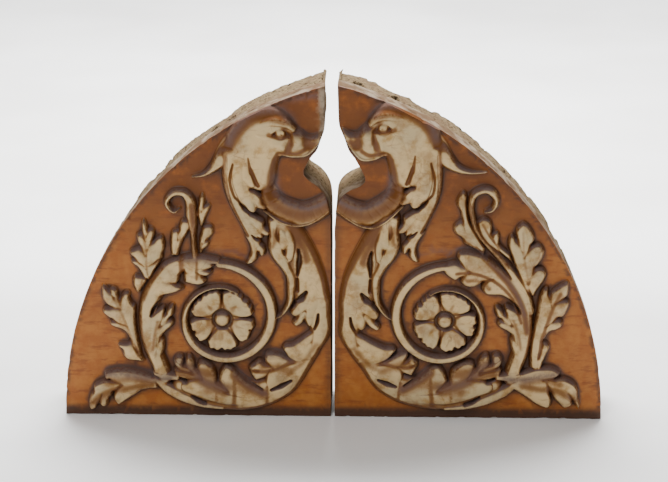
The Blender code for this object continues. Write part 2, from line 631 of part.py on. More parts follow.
def weld(mesh):
    """Joins a mesh's doubled corners and turns its faces outward."""
    shape = bmesh.new()
    shape.from_mesh(mesh)
    bmesh.ops.remove_doubles(shape, verts=shape.verts, dist=0.00001)
    bmesh.ops.recalc_face_normals(shape, faces=shape.faces)
    shape.to_mesh(mesh)
    shape.free()


def relief_slab(name, face, depth, collection):
    """The carved face as a closed slab: the relief in front, a flat back inside the block."""
    rows, columns = face.height.shape
    grid = bpy.data.meshes.new(name)
    flat = bmesh.new()
    bmesh.ops.create_grid(flat, x_segments=columns - 1, y_segments=rows - 1, size=0.5)
    flat.to_mesh(grid)
    flat.free()
    spots = np.empty(len(grid.vertices) * 3)
    grid.vertices.foreach_get("co", spots)
    spots = spots.reshape(-1, 3)
    column = np.rint((spots[:, 0] + 0.5) * (columns - 1)).astype(int)
    row = np.rint((spots[:, 1] + 0.5) * (rows - 1)).astype(int)
    spots = np.stack([face.outward[column], -face.height[row, column], face.upward[row]], axis=1)
    grid.vertices.foreach_set("co", spots.ravel())
    slab = new_object(name, grid, collection)
    thin = slab.modifiers.new("Fewer faces", "DECIMATE")
    thin.ratio = FACE_TRIANGLES / (2.0 * rows * columns)
    bpy.context.view_layer.update()
    evaluated = slab.evaluated_get(bpy.context.evaluated_depsgraph_get())
    thinned = bpy.data.meshes.new_from_object(evaluated)
    slab.modifiers.clear()
    slab.data = thinned
    close_behind(thinned, depth)
    return slab


def close_behind(mesh, depth):
    """Draws the open edge of a face straight back and closes it with a flat lid."""
    shape = bmesh.new()
    shape.from_mesh(mesh)
    rim = [edge for edge in shape.edges if edge.is_boundary]
    drawn = bmesh.ops.extrude_edge_only(shape, edges=rim)["geom"]
    for corner in (item for item in drawn if isinstance(item, bmesh.types.BMVert)):
        corner.co.y = depth
    bmesh.ops.holes_fill(shape, edges=[edge for edge in shape.edges if edge.is_boundary], sides=0)
    bmesh.ops.triangulate(shape, faces=shape.faces)
    bmesh.ops.recalc_face_normals(shape, faces=shape.faces)
    shape.to_mesh(mesh)
    shape.free()


def boolean(item, other, operation):
    """Applies one Boolean to an object's mesh."""
    cut = item.modifiers.new(operation.title(), "BOOLEAN")
    cut.operation = operation
    cut.solver = "EXACT"
    cut.object = other
    bpy.context.view_layer.update()
    evaluated = item.evaluated_get(bpy.context.evaluated_depsgraph_get())
    mesh = bpy.data.meshes.new_from_object(evaluated)
    item.modifiers.clear()
    item.data = mesh


def anchor_holes(drawing, collection):
    """Cutters for the old cramp holes in the rough top behind the margin."""
    holes = []
    inset = drawing.face([NECK_TOP], 0.0)[0, 0]
    for index, share in enumerate(ANCHOR_HOLE_SHARES[drawing.side]):
        outward, upward = arch_point(share, BLOCK_WIDTH, BLOCK_HEIGHT, inset)
        ahead = arch_point(share + 0.01, BLOCK_WIDTH, BLOCK_HEIGHT, inset)
        slope = math.atan2(ahead[1] - upward, ahead[0] - outward)
        bpy.ops.mesh.primitive_cylinder_add(
            vertices=8,
            radius=ANCHOR_HOLE_WIDTH / 2,
            depth=2 * ANCHOR_HOLE_DEPTH,
            location=(outward, TOP_MARGIN_DEPTH + ANCHOR_HOLE_SETBACK, upward),
            rotation=(0.0, -slope, 0.0),
        )
        hole = bpy.context.object
        hole.name = f"{drawing.side}_anchor_hole_{index}"
        for owner in hole.users_collection:
            owner.objects.unlink(hole)
        collection.objects.link(hole)
        holes.append(as_cutter(hole))
    return holes


def half_block(side, parts, cutters):
    """One half: the carved slab cut to the block's edge, with the cramp holes in its top."""
    drawing = Drawing(side)
    face = carved_face(drawing)
    name = f"{side}_half_block"
    block = relief_slab(name, face, BLOCK_DEPTH, parts)
    edge = prism(f"{side}_edge", block_outline(drawing), -2 * RELIEF_RISE, 2 * BLOCK_DEPTH, cutters)
    boolean(block, edge, "INTERSECT")
    as_cutter(edge)
    for hole in anchor_holes(drawing, cutters):
        boolean(block, hole, "DIFFERENCE")
    turn = -1.0 if side == "left" else 1.0
    mesh = block.data
    spots = np.empty(len(mesh.vertices) * 3)
    mesh.vertices.foreach_get("co", spots)
    spots = spots.reshape(-1, 3) * (turn, 1.0, 1.0)
    mesh.vertices.foreach_set("co", spots.ravel())
    if side == "left":
        mesh.flip_normals()
    block.location = (turn * JOINT_GAP / 2, -(BLOCK_DEPTH - RELIEF_RISE) / 2, 0.0)
    mesh.shade_smooth()
    mesh.set_sharp_from_angle(angle=math.radians(35.0))
    return block


def fired_clay(name, colour, roughness):
    """A plain fired-clay finish."""
    material = bpy.data.materials.new(name)
    material.use_nodes = True
    shader = material.node_tree.nodes["Principled BSDF"]
    shader.inputs["Base Color"].default_value = (*colour, 1.0)
    shader.inputs["Roughness"].default_value = roughness
    shader.inputs["Metallic"].default_value = 0.0
    return material


def new_collection(name):
    """A collection of that name under the scene."""
    collection = bpy.data.collections.new(name)
    bpy.context.scene.collection.children.link(collection)
    return collection


def main():
    """Builds both halves."""
    for item in list(bpy.data.objects):
        bpy.data.objects.remove(item)
    parts = new_collection("terracotta_lunette")
    cutters = new_collection("cutters")
    for side in ("left", "right"):
        block = half_block(side, parts, cutters)
        block.data.materials.append(fired_clay(f"{side}_terracotta", CLAY_COLOUR, CLAY_ROUGHNESS))


if __name__ == "__main__":
    main()
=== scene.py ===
"""The finish of the terracotta lunette: two glazed half blocks, their carving, and the studio.

Each half is worked as one fired block. Its carving is a fine height field, drawn in the pixels of
a 668 by 482 frame and carried to the face, and its edge and back are rough shells that cut the
slab to shape. All lengths are in metres unless a name says pixels.
"""

import copy
import logging
import math
from dataclasses import dataclass, fields
from enum import Enum
from typing import Sequence

import bpy
import numpy as np
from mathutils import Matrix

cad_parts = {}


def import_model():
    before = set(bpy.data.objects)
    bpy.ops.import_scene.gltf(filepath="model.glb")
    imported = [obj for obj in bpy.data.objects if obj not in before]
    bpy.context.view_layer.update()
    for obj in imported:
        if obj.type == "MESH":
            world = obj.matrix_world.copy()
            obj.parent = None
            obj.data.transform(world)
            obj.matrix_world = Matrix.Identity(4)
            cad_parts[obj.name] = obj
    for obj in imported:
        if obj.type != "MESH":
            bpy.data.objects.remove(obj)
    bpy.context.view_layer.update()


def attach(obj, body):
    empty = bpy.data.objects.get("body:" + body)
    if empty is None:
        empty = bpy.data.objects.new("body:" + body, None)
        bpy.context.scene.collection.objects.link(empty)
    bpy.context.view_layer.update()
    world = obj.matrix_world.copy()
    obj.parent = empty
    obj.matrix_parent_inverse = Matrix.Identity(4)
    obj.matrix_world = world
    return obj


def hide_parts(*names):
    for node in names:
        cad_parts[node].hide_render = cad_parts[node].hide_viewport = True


LOG = logging.getLogger("lunette")
Pixels = Sequence[tuple[float, float]]
Widths = Sequence[float]
Stroke = tuple[Pixels, float, float]
Array = np.ndarray
Item = bpy.types.Object
Socket = bpy.types.NodeSocket
# The least width that a distance is divided by
LEAST = 1e-6
# The heights between which the field ends and a form counts as there
ON_FORM = (0.002, 0.006)


class Side(Enum):
    """The two halves of the lunette."""

    LEFT = "left"
    RIGHT = "right"

    @property
    def turn(self) -> float:
        """The sign of this half's X, outward from the joint."""
        return -1.0 if self is Side.LEFT else 1.0


@dataclass(frozen=True)
class View:
    """The angle and lens that the carving is drawn and shown at."""

    width: int = 668
    height: int = 482
    down: float = math.radians(18.0)
    round: float = math.radians(1.5)
    distance: float = 4.6
    focus: float = 2300.0

    def axes(self) -> tuple[Array, Array, Array]:
        """Gives the view's own directions.

        Returns:
            The unit vectors back towards the eye, to the right and up.
        """
        back = np.array([
            math.sin(self.round) * math.cos(self.down),
            -math.cos(self.round) * math.cos(self.down),
            math.sin(self.down),
        ])
        right = np.array([math.cos(self.round), math.sin(self.round), 0.0])
        return back, right, np.cross(back, right)

    def unproject(self, points: Pixels, lift: float) -> Array:
        """Carries drawn pixels to a plane that lies in front of the face.

        Args:
            points: The pixels.
            lift: How far in front of the field the plane lies.

        Returns:
            The X and Z of each point.
        """
        back, right, up = self.axes()
        spots = np.atleast_2d(np.asarray(points, dtype=float))
        ray = np.outer((spots[:, 0] - self.width / 2) / self.focus, right)
        ray += np.outer((self.height / 2 - spots[:, 1]) / self.focus, up)
        ray -= back
        eye = self.distance * back
        reach = (-lift - eye[1]) / ray[:, 1]
        hit = eye + ray * reach[:, None]
        return hit[:, [0, 2]]


VIEW = View()


@dataclass(frozen=True)
class BlockSize:
    """The sizes that both half blocks share."""

    width: float = 0.545
    height: float = 0.700
    depth: float = 0.150
    gap: float = 0.007
    relief: float = 0.034
    margin: float = 0.050
    drawn_lift: float = 0.026
    arc_steps: int = 120

    @property
    def front(self) -> float:
        """The Y of the face's field."""
        return -(self.depth - self.relief) / 2

    @property
    def radius(self) -> float:
        """The radius of the arch."""
        return (self.width ** 2 + self.height ** 2) / (2 * self.width)


SIZE = BlockSize()
JOINT_PIXEL = 332.7
BASE_JOINT = {Side.LEFT: (331.0, 416.0), Side.RIGHT: (334.5, 417.0)}
BASE_CORNER = {Side.LEFT: (65.0, 413.0), Side.RIGHT: (606.0, 420.0)}
ARCH_TOP = {Side.LEFT: (319.5, 87.0), Side.RIGHT: (344.3, 91.0)}
NECK_TOP = (324.5, 100.0)
SNOUT_EDGE = ((324.5, 118), (324.3, 132), (320.5, 142), (317, 152), (311, 159), (303.5, 172))
JAW_EDGE = ((303.5, 177), (309, 182.5), (318, 188.5), (325.5, 197), (329.5, 207), (330.9, 220))
JAW_SHOULDER = 0.020

# Where the right half's landmarks lie, against the left half's
LANDMARKS = (
    ((319.5, 144.5), (345.5, 146)), ((279, 135.5), (385.3, 133.6)), ((263, 114), (402, 114)),
    ((229, 134.8), (438, 133)), ((189.4, 179.7), (491, 178.5)), ((217, 178), (451, 182)),
    ((304, 171.8), (365, 182)), ((241.5, 234.2), (430, 234)), ((264.5, 210), (402.7, 209)),
    ((269.3, 236), (399, 237)), ((246, 265.7), (419.7, 266.5)), ((297, 210), (372, 212.4)),
    ((302, 228), (369, 233.5)), ((328.7, 213), (337.5, 216)), ((314, 252), (356.7, 258)),
    ((328.7, 316.6), (338, 322)), ((316.6, 365), (351, 370)), ((268, 407.5), (397, 406)),
    ((219.7, 411), (450, 413.5)), ((275.4, 319.5), (394, 323)), ((281.5, 347), (398, 351)),
    ((251, 366), (418, 363)), ((220.9, 321.2), (447.3, 325.3)), ((272, 314), (394.6, 315)),
    ((182, 320), (489, 326)), ((220, 365), (446, 368)), ((137, 325), (537, 324)),
    ((147, 283), (524, 282)), ((195, 256.5), (480, 257)), ((215, 266.5), (447, 271)),
    ((154, 377), (523, 381)), ((181, 356.6), (497, 357)), ((143, 223), (528.7, 229)),
    ((160, 238), (515, 244)), ((101, 290), (572, 291)), ((117, 344.5), (554, 349)),
    ((90, 408.7), (582, 408.7)), ((106, 372), (563, 375)),
)


def thin_plate(distance: Array) -> Array:
    """The bending kernel of a thin plate."""
    return distance ** 2 * np.log(distance + 1e-9)


class Drawing:
    """One half's drawing, from pixels to metres on the block's face."""

    def __init__(self, side: Side, own_pixels: bool = False) -> None:
        """Fits the drawing to its half.

        Args:
            side: The half.
            own_pixels: Whether the pixels are this half's own, not the left half's.
        """
        self.side = side
        self.own_pixels = own_pixels
        joint = VIEW.unproject([BASE_JOINT[side]], 0.0)[0]
        corner = VIEW.unproject([BASE_CORNER[side]], 0.0)[0]
        top = VIEW.unproject([ARCH_TOP[side]], 0.0)[0]
        self.joint_x = joint[0]
        self.width = abs(corner[0] - joint[0])
        self.base = (joint[1], corner[1])
        self.height = top[1] - joint[1]
        self.pixel = SIZE.width / abs(BASE_CORNER[side][0] - BASE_JOINT[side][0])
        source = np.array([landmark[0] for landmark in LANDMARKS])
        target = np.array([landmark[1] for landmark in LANDMARKS])
        self.knots = source * (-1.0, 1.0) + (2 * JOINT_PIXEL, 0.0)
        count = len(self.knots)
        kernel = thin_plate(np.linalg.norm(self.knots[:, None] - self.knots[None], axis=2))
        plane = np.hstack([np.ones((count, 1)), self.knots])
        system = np.block([[kernel, plane], [plane.T, np.zeros((3, 3))]])
        wanted = np.vstack([target - self.knots, np.zeros((3, 2))])
        self.weights = np.linalg.solve(system, wanted)

    def place(self, points: Pixels) -> Array:
        """Turns the left half's pixels into this half's own.

        Args:
            points: The left half's pixels.

        Returns:
            This half's pixels.
        """
        spots = np.atleast_2d(np.asarray(points, dtype=float))
        if self.side is Side.LEFT or self.own_pixels:
            return spots
        turned = spots * (-1.0, 1.0) + (2 * JOINT_PIXEL, 0.0)
        kernel = thin_plate(np.linalg.norm(turned[:, None] - self.knots[None], axis=2))
        plane = np.hstack([np.ones((len(turned), 1)), turned])
        return turned + np.hstack([kernel, plane]) @ self.weights

    def face(self, points: Pixels, lift: float = SIZE.drawn_lift) -> Array:
        """Carries pixels to the block's face.

        Args:
            points: The pixels.
            lift: How far in front of the field the drawn line lies.

        Returns:
            Metres outward from the joint and up from the base.
        """
        hit = VIEW.unproject(self.place(points), lift)
        outward = np.abs(hit[:, 0] - self.joint_x) / self.width
        base = self.base[0] + (self.base[1] - self.base[0]) * outward
        upward = (hit[:, 1] - base) / self.height
        return np.stack([outward * SIZE.width, upward * SIZE.height], axis=1)


def arch_end(drawing: Drawing) -> float:
    """Finds how far round its centre the arch runs before the broken top of the joint.

    Args:
        drawing: The half's drawing.

    Returns:
        The angle from the base, in radians.
    """
    inset = drawing.face([NECK_TOP], 0.0)[0, 0]
    return math.acos(min((inset - (SIZE.width - SIZE.radius)) / SIZE.radius, 1.0))


def smooth_line(points: Array | Pixels, steps: int = 8) -> Array:
    """Draws a curve through all the points.

    Args:
        points: The points.
        steps: The number of steps between two of them.

    Returns:
        The curve's points.
    """
    points = np.asarray(points, dtype=float)
    if len(points) < 3:
        return points
    padded = np.vstack([2 * points[0] - points[1], points, 2 * points[-1] - points[-2]])
    t = np.arange(steps)[:, None] / steps
    line = []
    for before, start, end, after in zip(padded[:-3], padded[1:-2], padded[2:-1], padded[3:]):
        line.append(0.5 * (
            2 * start
            + (end - before) * t
            + (2 * before - 5 * start + 4 * end - after) * t ** 2
            + (3 * start - before - 3 * end + after) * t ** 3
        ))
    line.append(points[-1:])
    return np.vstack(line)


def along(line: Array, outward: Array, upward: Array) -> tuple[Array, ...]:
    """Measures each grid point against a line.

    Args:
        line: The line's points.
        outward: The grid's first coordinate.
        upward: The grid's second coordinate.

    Returns:
        The share along the line, the distance from it, and the side, left positive.
    """
    nearest = np.full(outward.shape, np.inf)
    share = np.zeros(outward.shape)
    side = np.zeros(outward.shape)
    step = np.diff(line, axis=0)
    length = np.maximum(np.linalg.norm(step, axis=1), 1e-9)
    run = np.concatenate([[0.0], np.cumsum(length)])
    for index, (start, reach) in enumerate(zip(line[:-1], step)):
        da = outward - start[0]
        db = upward - start[1]
        part = np.clip((da * reach[0] + db * reach[1]) / length[index] ** 2, 0.0, 1.0)
        gap = np.hypot(da - part * reach[0], db - part * reach[1])
        closer = gap < nearest
        nearest[closer] = gap[closer]
        share[closer] = (run[index] + part[closer] * length[index]) / run[-1]
        side[closer] = np.sign(reach[0] * db - reach[1] * da)[closer]
    return share, nearest, side


def quarter_round(depth: Array, radius: float | Array) -> Array:
    """A rounded shoulder: 0 at the edge, 1 once it is a radius inside it."""
    inside = np.clip(depth / radius, 0.0, 1.0)
    return np.sqrt(np.clip(1.0 - (1.0 - inside) ** 2, 0.0, 1.0))


def ease(value: Array, low: float, high: float) -> Array:
    """A soft step from 0 at the low value to 1 at the high one."""
    share = np.clip((value - low) / (high - low), 0.0, 1.0)
    return share * share * (3.0 - 2.0 * share)


def blur(values: Array, reach: int) -> Array:
    """Averages a grid over a square, three times over.

    Args:
        values: The grid.
        reach: Half the square's width, in cells.

    Returns:
        The softened grid.
    """
    for _ in range(3):
        for axis in (0, 1):
            border = [(0, 0), (0, 0)]
            border[axis] = (reach + 1, reach)
            padded = np.pad(values, border, mode="edge")
            total = np.cumsum(padded, axis=axis)
            high = np.take(total, range(2 * reach + 1, total.shape[axis]), axis=axis)
            low = np.take(total, range(0, total.shape[axis] - 2 * reach - 1), axis=axis)
            values = (high - low) / (2 * reach + 1)
    return values


def soft_noise(shape: tuple[int, int], cell: float, rng: np.random.Generator) -> Array:
    """Makes smooth noise.

    Args:
        shape: The grid's rows and columns.
        cell: The size of one patch, in grid cells.
        rng: The source of the random numbers.

    Returns:
        A grid of values from about -1 to 1.
    """
    rows, columns = (int(count / cell) + 4 for count in shape)
    coarse = rng.uniform(-1.0, 1.0, (rows, columns))
    y = np.arange(shape[0]) / cell + 1.0
    x = np.arange(shape[1]) / cell + 1.0
    row, column = y.astype(int), x.astype(int)
    down = ease(y - row, 0.0, 1.0)[:, None]
    across = ease(x - column, 0.0, 1.0)[None]
    top = coarse[np.ix_(row, column)] * (1 - across) + coarse[np.ix_(row, column + 1)] * across
    low = coarse[np.ix_(row + 1, column)] * (1 - across) + coarse[np.ix_(row + 1, column + 1)] * across
    return top * (1 - down) + low * down


def inside_outline(outline: Array, outward: Array, upward: Array) -> Array:
    """Finds the grid points inside a closed outline.

    Args:
        outline: The outline's points, the last one equal to the first.
        outward: The grid's first coordinate.
        upward: The grid's second coordinate.

    Returns:
        A grid that is True inside the outline.
    """
    inside = np.zeros(outward.shape, dtype=bool)
    for start, end in zip(outline[:-1], outline[1:]):
        if start[1] == end[1]:
            continue
        crosses = (start[1] > upward) != (end[1] > upward)
        reach = start[0] + (upward - start[1]) * (end[0] - start[0]) / (end[1] - start[1])
        inside ^= crosses & (outward < reach)
    return inside


class Relief:
    """The carving of one face, as heights over its field on a fine square grid."""

    STEP = 0.0012
    CLEARANCE = 0.0016

    def __init__(self, drawing: Drawing) -> None:
        """Lays out the grid for one half.

        Args:
            drawing: The half's drawing.
        """
        self.drawing = drawing
        self.pixel = drawing.pixel
        self.outward = np.arange(-4, int(SIZE.width / self.STEP) + 5) * self.STEP
        self.upward = np.arange(-4, int(SIZE.height / self.STEP) + 5) * self.STEP
        self.height = np.zeros((len(self.upward), len(self.outward)))
        self.brown = np.zeros_like(self.height)
        self.grey = np.zeros_like(self.height)
        self.rubbed = np.zeros_like(self.height)

    def in_own_pixels(self) -> "Relief":
        """Lets the face be drawn on in this half's own pixels.

        Returns:
            The same face, with another drawing.
        """
        twin = copy.copy(self)
        twin.drawing = Drawing(self.drawing.side, own_pixels=True)
        return twin

    def window(self, line: Array, margin: float) -> tuple:
        """Finds the part of the grid within a margin of a line.

        Args:
            line: The line's points.
            margin: The margin.

        Returns:
            The rows and columns, and the two coordinates of the points there.
        """
        low = line.min(axis=0) - margin
        high = line.max(axis=0) + margin
        columns = slice(*np.searchsorted(self.outward, (low[0], high[0])))
        rows = slice(*np.searchsorted(self.upward, (low[1], high[1])))
        outward, upward = np.meshgrid(self.outward[columns], self.upward[rows])
        return (rows, columns), outward, upward

    def trace(self, points: Pixels, widths: Widths) -> tuple:
        """Measures the grid against a drawn line.

        Args:
            points: The line's pixels.
            widths: Half widths along it, in pixels.

        Returns:
            The window, and each point's share, distance, side and half width.
        """
        line = smooth_line(self.drawing.face(points))
        return self.trace_line(line, np.asarray(widths, dtype=float) * self.pixel)

    def trace_line(self, line: Array, widths: Array) -> tuple:
        """Measures the grid against a line, as trace does, for metres.

        Args:
            line: The line's points.
            widths: Half widths along it.

        Returns:
            The window, and each point's share, distance, side and half width.
        """
        place, outward, upward = self.window(line, widths.max() + 3 * self.STEP)
        share, gap, side = along(line, outward, upward)
        width = np.interp(share, np.linspace(0.0, 1.0, len(widths)), widths)
        return place, share, gap, side, width

    def raise_form(self, place: tuple, height: Array) -> None:
        """Keeps the higher of the face and a form."""
        self.height[place] = np.maximum(self.height[place], height)

    def brush(self, layer: Array, strokes: Sequence[Stroke]) -> None:
        """Brushes soft strokes on a layer: brown wear and painted shade, grey, or rubbed places.

        Args:
            layer: The brown, grey or rubbed layer.
            strokes: Each stroke's middle and half width in pixels, and how strong it is.
        """
        for points, width, amount in strokes:
            line = smooth_line(self.drawing.face(points))
            place, outward, upward = self.window(line, 2.2 * width * self.pixel)
            _, gap, _ = along(line, outward, upward)
            layer[place] = np.maximum(layer[place], amount * np.exp(-(gap / (width * self.pixel)) ** 2))

    def weather(self, rng: np.random.Generator) -> None:
        """Rounds the carving as pressed clay is, and adds the maker's unevenness.

        Args:
            rng: The source of the random numbers.
        """
        self.height = np.clip(self.height, 0.0, SIZE.relief - self.CLEARANCE)
        self.height = 0.5 * self.height + 0.5 * blur(self.height, 1)
        form = ease(self.height, 0.001, 0.008)
        shape = self.height.shape
        field_wave = 0.00035 * soft_noise(shape, 34.0, rng) + 0.00018 * soft_noise(shape, 11.0, rng)
        form_wave = 0.00040 * soft_noise(shape, 16.0, rng) + 0.00016 * soft_noise(shape, 5.0, rng)
        self.height += (field_wave - 0.0005) * (1 - form) + (form_wave - 0.0004) * form

    def sample(self, values: Array, outward: Array, upward: Array) -> Array:
        """Reads a grid of values at loose points.

        Args:
            values: The grid.
            outward: The points' first coordinate.
            upward: The points' second coordinate.

        Returns:
            The value at each point.
        """
        x = np.clip((outward - self.outward[0]) / self.STEP, 0, len(self.outward) - 1.001)
        y = np.clip((upward - self.upward[0]) / self.STEP, 0, len(self.upward) - 1.001)
        column, row = x.astype(int), y.astype(int)
        fx, fy = x - column, y - row
        low = values[row, column] * (1 - fx) + values[row, column + 1] * fx
        high = values[row + 1, column] * (1 - fx) + values[row + 1, column + 1] * fx
        return low * (1 - fy) + high * fy


def band_height(share: Array, gap: Array, width: Array, rise: float | Widths,
                crown: float, shoulder: float) -> Array:
    """Works out a band's height.

    Args:
        share: How far along the band each point lies.
        gap: How far from its middle.
        width: The band's half width there.
        rise: The height of its middle, one or several along it.
        crown: How much of the rise is a low crown.
        shoulder: The radius of its edges.

    Returns:
        The height at each point, 0 outside the band.
    """
    rise = np.atleast_1d(np.asarray(rise, dtype=float))
    top = np.interp(share, np.linspace(0.0, 1.0, len(rise)), rise)
    across = gap / np.maximum(width, LEAST)
    height = (top - crown) * quarter_round(width - gap, np.minimum(shoulder, width + LEAST))
    height += crown * (1.0 - across ** 2)
    return np.where(width > gap, height, 0.0)


class Form:
    """Something that can be carved on a face."""

    def carve(self, face: Relief) -> None:
        """Carves the form.

        Args:
            face: The face that it is carved on.
        """
        raise NotImplementedError


@dataclass(frozen=True)
class Band(Form):
    """A rounded band.

    Attributes:
        points: Its middle, in pixels.
        widths: Half widths along it, in pixels.
        rise: The height of its middle, one or several along it.
        crown: How much of the rise is a low crown.
        shoulder: The radius of its edges.
    """

    points: Pixels
    widths: Widths
    rise: float | Widths
    crown: float = 0.003
    shoulder: float = 0.009

    def carve(self, face: Relief) -> None:
        """Raises the band.

        Args:
            face: The face that it is carved on.
        """
        place, share, gap, _, width = face.trace(self.points, self.widths)
        face.raise_form(place, band_height(share, gap, width, self.rise, self.crown, self.shoulder))


@dataclass(frozen=True)
class Groove(Form):
    """A soft channel, with its middle and half widths in pixels."""

    points: Pixels
    widths: Widths
    depth: float
    spread: float = 1.3

    def carve(self, face: Relief) -> None:
        """Cuts the channel into whatever is there.

        Args:
            face: The face that it is carved on.
        """
        place, _, gap, _, width = face.trace(self.points, self.widths)
        across = np.clip(1.0 - (gap / np.maximum(self.spread * width, LEAST)) ** 2, 0.0, 1.0) ** 2
        here = face.height[place]
        face.height[place] = np.maximum(here - across * self.depth, np.minimum(here, 0.0))


@dataclass(frozen=True)
class Slot(Form):
    """A deep drilled slot, with its middle and half widths in pixels."""

    points: Pixels
    widths: Widths
    floor: float = 0.004
    wall: float = 0.002

    def carve(self, face: Relief) -> None:
        """Drills the slot down to its floor.

        Args:
            face: The face that it is carved on.
        """
        place, _, gap, _, width = face.trace(self.points, self.widths)
        inside = ease((width - gap) / self.wall, -0.2, 1.0)
        face.height[place] -= np.maximum(face.height[place] - self.floor, 0.0) * inside


@dataclass(frozen=True)
class Ridge(Form):
    """A soft bead, with its middle and half widths in pixels."""

    points: Pixels
    widths: Widths
    rise: float

    def carve(self, face: Relief) -> None:
        """Adds the bead on top of whatever is there.

        Args:
            face: The face that it is carved on.
        """
        place, _, gap, _, width = face.trace(self.points, self.widths)
        across = np.clip(1.0 - (gap / np.maximum(width, LEAST)) ** 2, 0.0, 1.0)
        face.height[place] += self.rise * across ** 0.5 * ease(face.height[place], *ON_FORM)


@dataclass(frozen=True)
class Swell(Form):
    """A soft mound, or a hollow where it falls, with its middle and reach in pixels."""

    centre: tuple[float, float]
    reach: tuple[float, float]
    rise: float
    window: float = 2.5

    def carve(self, face: Relief) -> None:
        """Swells or sinks what is there.

        Args:
            face: The face that it is carved on.
        """
        middle = face.drawing.face([self.centre])
        across, upright = np.array(self.reach) * face.pixel
        place, outward, upward = face.window(middle, self.window * max(across, upright))
        away = ((outward - middle[0, 0]) / across) ** 2 + ((upward - middle[0, 1]) / upright) ** 2
        face.height[place] += self.rise * np.exp(-away) * ease(face.height[place], *ON_FORM)


@dataclass(frozen=True)
class Bevel(Form):
    """A slope down towards a line, as wide as its width in pixels."""

    points: Pixels
    width: float
    depth: float
    foot: float = 0.003
    bend: float = 1.3

    def carve(self, face: Relief) -> None:
        """Slopes what is there.

        Args:
            face: The face that it is carved on.
        """
        line = smooth_line(face.drawing.face(self.points))
        place, outward, upward = face.window(line, self.width * face.pixel)
        _, gap, _ = along(line, outward, upward)
        fall = self.depth * np.clip(1.0 - gap / (self.width * face.pixel), 0.0, 1.0) ** self.bend
        here = face.height[place]
        face.height[place] = np.maximum(here - fall, np.minimum(here, self.foot))


@dataclass(frozen=True)
class Boss(Form):
    """A domed boss on its own base, with its middle and radius in pixels."""

    centre: tuple[float, float]
    radius: float
    rise: float
    base: float

    def carve(self, face: Relief) -> None:
        """Raises the boss.

        Args:
            face: The face that it is carved on.
        """
        middle = face.drawing.face([self.centre])
        place, outward, upward = face.window(middle, self.radius * face.pixel)
        gap = np.hypot(outward - middle[0, 0], upward - middle[0, 1]) / (self.radius * face.pixel)
        dome = self.base + self.rise * np.sqrt(np.clip(1.0 - gap ** 2, 0.0, 1.0))
        face.raise_form(place, np.where(gap < 1.0, dome, 0.0))


@dataclass(frozen=True)
class Leaf(Form):
    """An acanthus leaf of plump lobes, with a valley from each notch to the rib.

    Attributes:
        midrib: The rib, from the foot to the tip, in pixels.
        lobes: Each lobe's edge in pixels, from its notch round its tip. It ends at the first point
            of the next one, and the last one ends at the foot.
        rise: The leaf's height.
        crown: How much of the rise is a crown.
        valley: How deep the valley at a notch is.
        tilt: How much the rib's left side stands up over its right.
        sink: How far the foot dips into what it grows out of.
        edge: The radius of its edges.
        dome: How far inside them the crown is full.
        lobe_round: The radius of a lobe beside a valley.
        lean: How many points of the rib a valley leans back towards the foot.
    """

    midrib: Pixels
    lobes: Sequence[Pixels]
    rise: float
    crown: float = 0.012
    valley: float = 0.009
    tilt: float = 0.0
    sink: float = 0.0
    edge: float = 0.0042
    dome: float = 0.026
    lobe_round: float = 0.0095
    lean: int = 5

    def carve(self, face: Relief) -> None:
        """Raises the leaf.

        Args:
            face: The face that it is carved on.
        """
        rib = smooth_line(face.drawing.face(self.midrib))
        ends = [lobe[:1] for lobe in self.lobes[1:]] + [()]
        edges = [smooth_line(face.drawing.face((*lobe, *end)), 5) for lobe, end in zip(self.lobes, ends)]
        outline = np.vstack([*edges, edges[0][:1]])
        place, outward, upward = face.window(outline, 3 * face.STEP)
        _, gap, _ = along(outline, outward, upward)
        rib_share, rib_gap, side = along(rib, outward, upward)
        height = (self.rise - self.crown) * quarter_round(gap, self.edge)
        height += self.crown * quarter_round(gap, self.dome)
        for edge in edges[1:]:
            root = rib[max(np.linalg.norm(rib - edge[0], axis=1).argmin() - self.lean, 0)]
            share, away, _ = along(np.array([edge[0], edge[0] + (root - edge[0]) * 0.9]), outward, upward)
            height -= self.valley * (1.0 - quarter_round(away, self.lobe_round)) * (1.0 - 0.35 * share)
        beside = 1.0 - quarter_round(rib_gap, 0.6 * self.lobe_round)
        height -= 0.45 * self.valley * beside * (1.0 - rib_share)
        height += self.tilt * side * np.clip(rib_gap / 0.020, 0.0, 1.0)
        height -= self.sink * np.clip(1.0 - rib_share / 0.5, 0.0, 1.0)
        inside = inside_outline(outline, outward, upward)
        face.raise_form(place, np.where(inside, np.maximum(height, 0.0), 0.0))


class Ornament(Form):
    """A part of the carving: its fields are forms, carved in their order."""

    OWN_PIXELS = False

    def carve(self, face: Relief) -> None:
        """Carves each form in turn.

        Args:
            face: The face that they are carved on.
        """
        target = face.in_own_pixels() if self.OWN_PIXELS else face
        for item in fields(self):
            form = getattr(self, item.name)
            if isinstance(form, Form):
                form.carve(target)


@dataclass(frozen=True)
class Sided(Form):
    """A form that each half has its own way."""

    left: Form
    right: Form

    def carve(self, face: Relief) -> None:
        """Carves the half's own form.

        Args:
            face: The face that it is carved on.
        """
        (self.left if face.drawing.side is Side.LEFT else self.right).carve(face)


